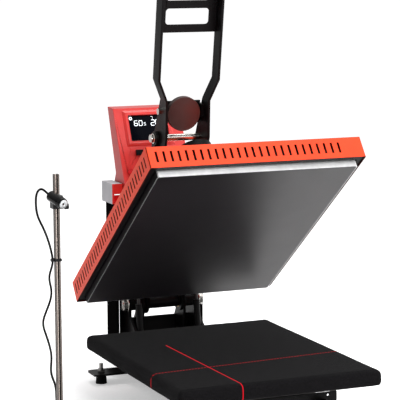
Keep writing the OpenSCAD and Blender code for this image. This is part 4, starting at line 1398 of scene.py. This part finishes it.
@dataclass
class Studio:
    """Pale floor, soft lights and the camera."""

    camera_place: tuple = (-1.31331, -3.01428, 0.88272)
    yaw: float = math.radians(22.646)
    pitch: float = math.radians(8.021)
    roll: float = math.radians(-0.279)
    lens: float = 157.1
    ambient: float = 0.36
    overhead: float = 0.42
    side_light: float = 0.26
    floor_lift: float = 0.42
    lit_spot: tuple = (0.0, 0.1, 0.35)

    def build(self) -> None:
        """Makes the whole setting."""
        self.camera()
        self.floor()
        self.world()
        self.lamp("key", (0.3, -2.8, 2.2), 1.5, 70.0)
        self.lamp("top", (0.4, 0.2, 2.8), 1.8, 36.0)
        self.lamp("right", (2.6, -1.0, 1.2), 1.3, 34.0)
        bpy.context.scene.view_settings.view_transform = "Standard"

    def camera(self) -> None:
        """Camera at its place, looking a little down."""
        data = bpy.data.cameras.new("camera")
        data.lens = self.lens
        data.sensor_width = 36.0
        data.clip_end = 60.0
        camera = bpy.data.objects.new("camera", data)
        bpy.context.scene.collection.objects.link(camera)
        turn = (Matrix.Rotation(-self.yaw, 4, "Z")
                @ Matrix.Rotation(math.radians(90.0) - self.pitch, 4, "X")
                @ Matrix.Rotation(self.roll, 4, "Z"))
        camera.matrix_world = Matrix.Translation(self.camera_place) @ turn
        bpy.context.scene.camera = camera

    def floor(self) -> None:
        """Wide pale floor with a faint tone, lifted to white where it is seen."""
        floor = primitive("plane", size=60.0)
        floor.name = "studio_floor"
        s = Sheet("pale_floor")
        s.set(Base_Color=s.ramp(s.noise(0.8, 2.0), [(0.2, (0.93, 0.93, 0.935, 1.0)),
                                                    (0.8, (0.95, 0.95, 0.955, 1.0))]))
        s.set(Roughness=0.6, Specular_IOR_Level=0.0)
        seen = s.add("LightPath").outputs["Is Camera Ray"]
        s.set(Emission_Color=(1.0, 1.0, 1.0, 1.0))
        s.set(Emission_Strength=s.math("MULTIPLY", seen, self.floor_lift))
        paint(floor, s.material)
        floor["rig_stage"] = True

    def world(self) -> None:
        """White surroundings, brighter above and at the right."""
        world = bpy.data.worlds.new("studio")
        world.use_nodes = True
        nodes, links = world.node_tree.nodes, world.node_tree.links
        back = nodes["Background"]
        back.inputs[0].default_value = (1.0, 1.0, 1.0, 1.0)
        way = nodes.new("ShaderNodeSeparateXYZ")
        links.new(nodes.new("ShaderNodeTexCoord").outputs["Generated"], way.inputs[0])
        step = partial(arithmetic, nodes, links)
        height = step("MAXIMUM", way.outputs[2], 0.0)
        level = step("ADD", self.ambient, step("MULTIPLY", height, self.overhead))
        level = step("ADD", level, step("MULTIPLY", way.outputs[0], self.side_light))
        seen = nodes.new("ShaderNodeLightPath").outputs["Is Camera Ray"]
        links.new(step("MAXIMUM", level, step("MULTIPLY", seen, 1.05)), back.inputs[1])
        bpy.context.scene.world = world

    def lamp(self, name: str, place: tuple, size: float, power: float) -> None:
        """A soft square light aimed at the press.

        Args:
            name: the light's name.
            place: where it hangs.
            size: the length of its side.
            power: its power in watts.
        """
        data = bpy.data.lights.new(name, "AREA")
        data.size = size
        data.energy = power
        lamp = bpy.data.objects.new(name, data)
        bpy.context.scene.collection.objects.link(lamp)
        aim = Vector(self.lit_spot) - Vector(place)
        turn = aim.to_track_quat("-Z", "Y").to_matrix().to_4x4()
        lamp.matrix_world = Matrix.Translation(place) @ turn


def main() -> None:
    """Builds the press in order."""
    logging.basicConfig(level=logging.INFO, format="%(message)s")
    press = Press()
    Studio().build()
    for part in (Platen(press), Heater(press), Carrier(press), Handle(press), ControlBox(press),
                 Base(press), Laser(press)):
        part.build()


if __name__ == "__main__":
    main()
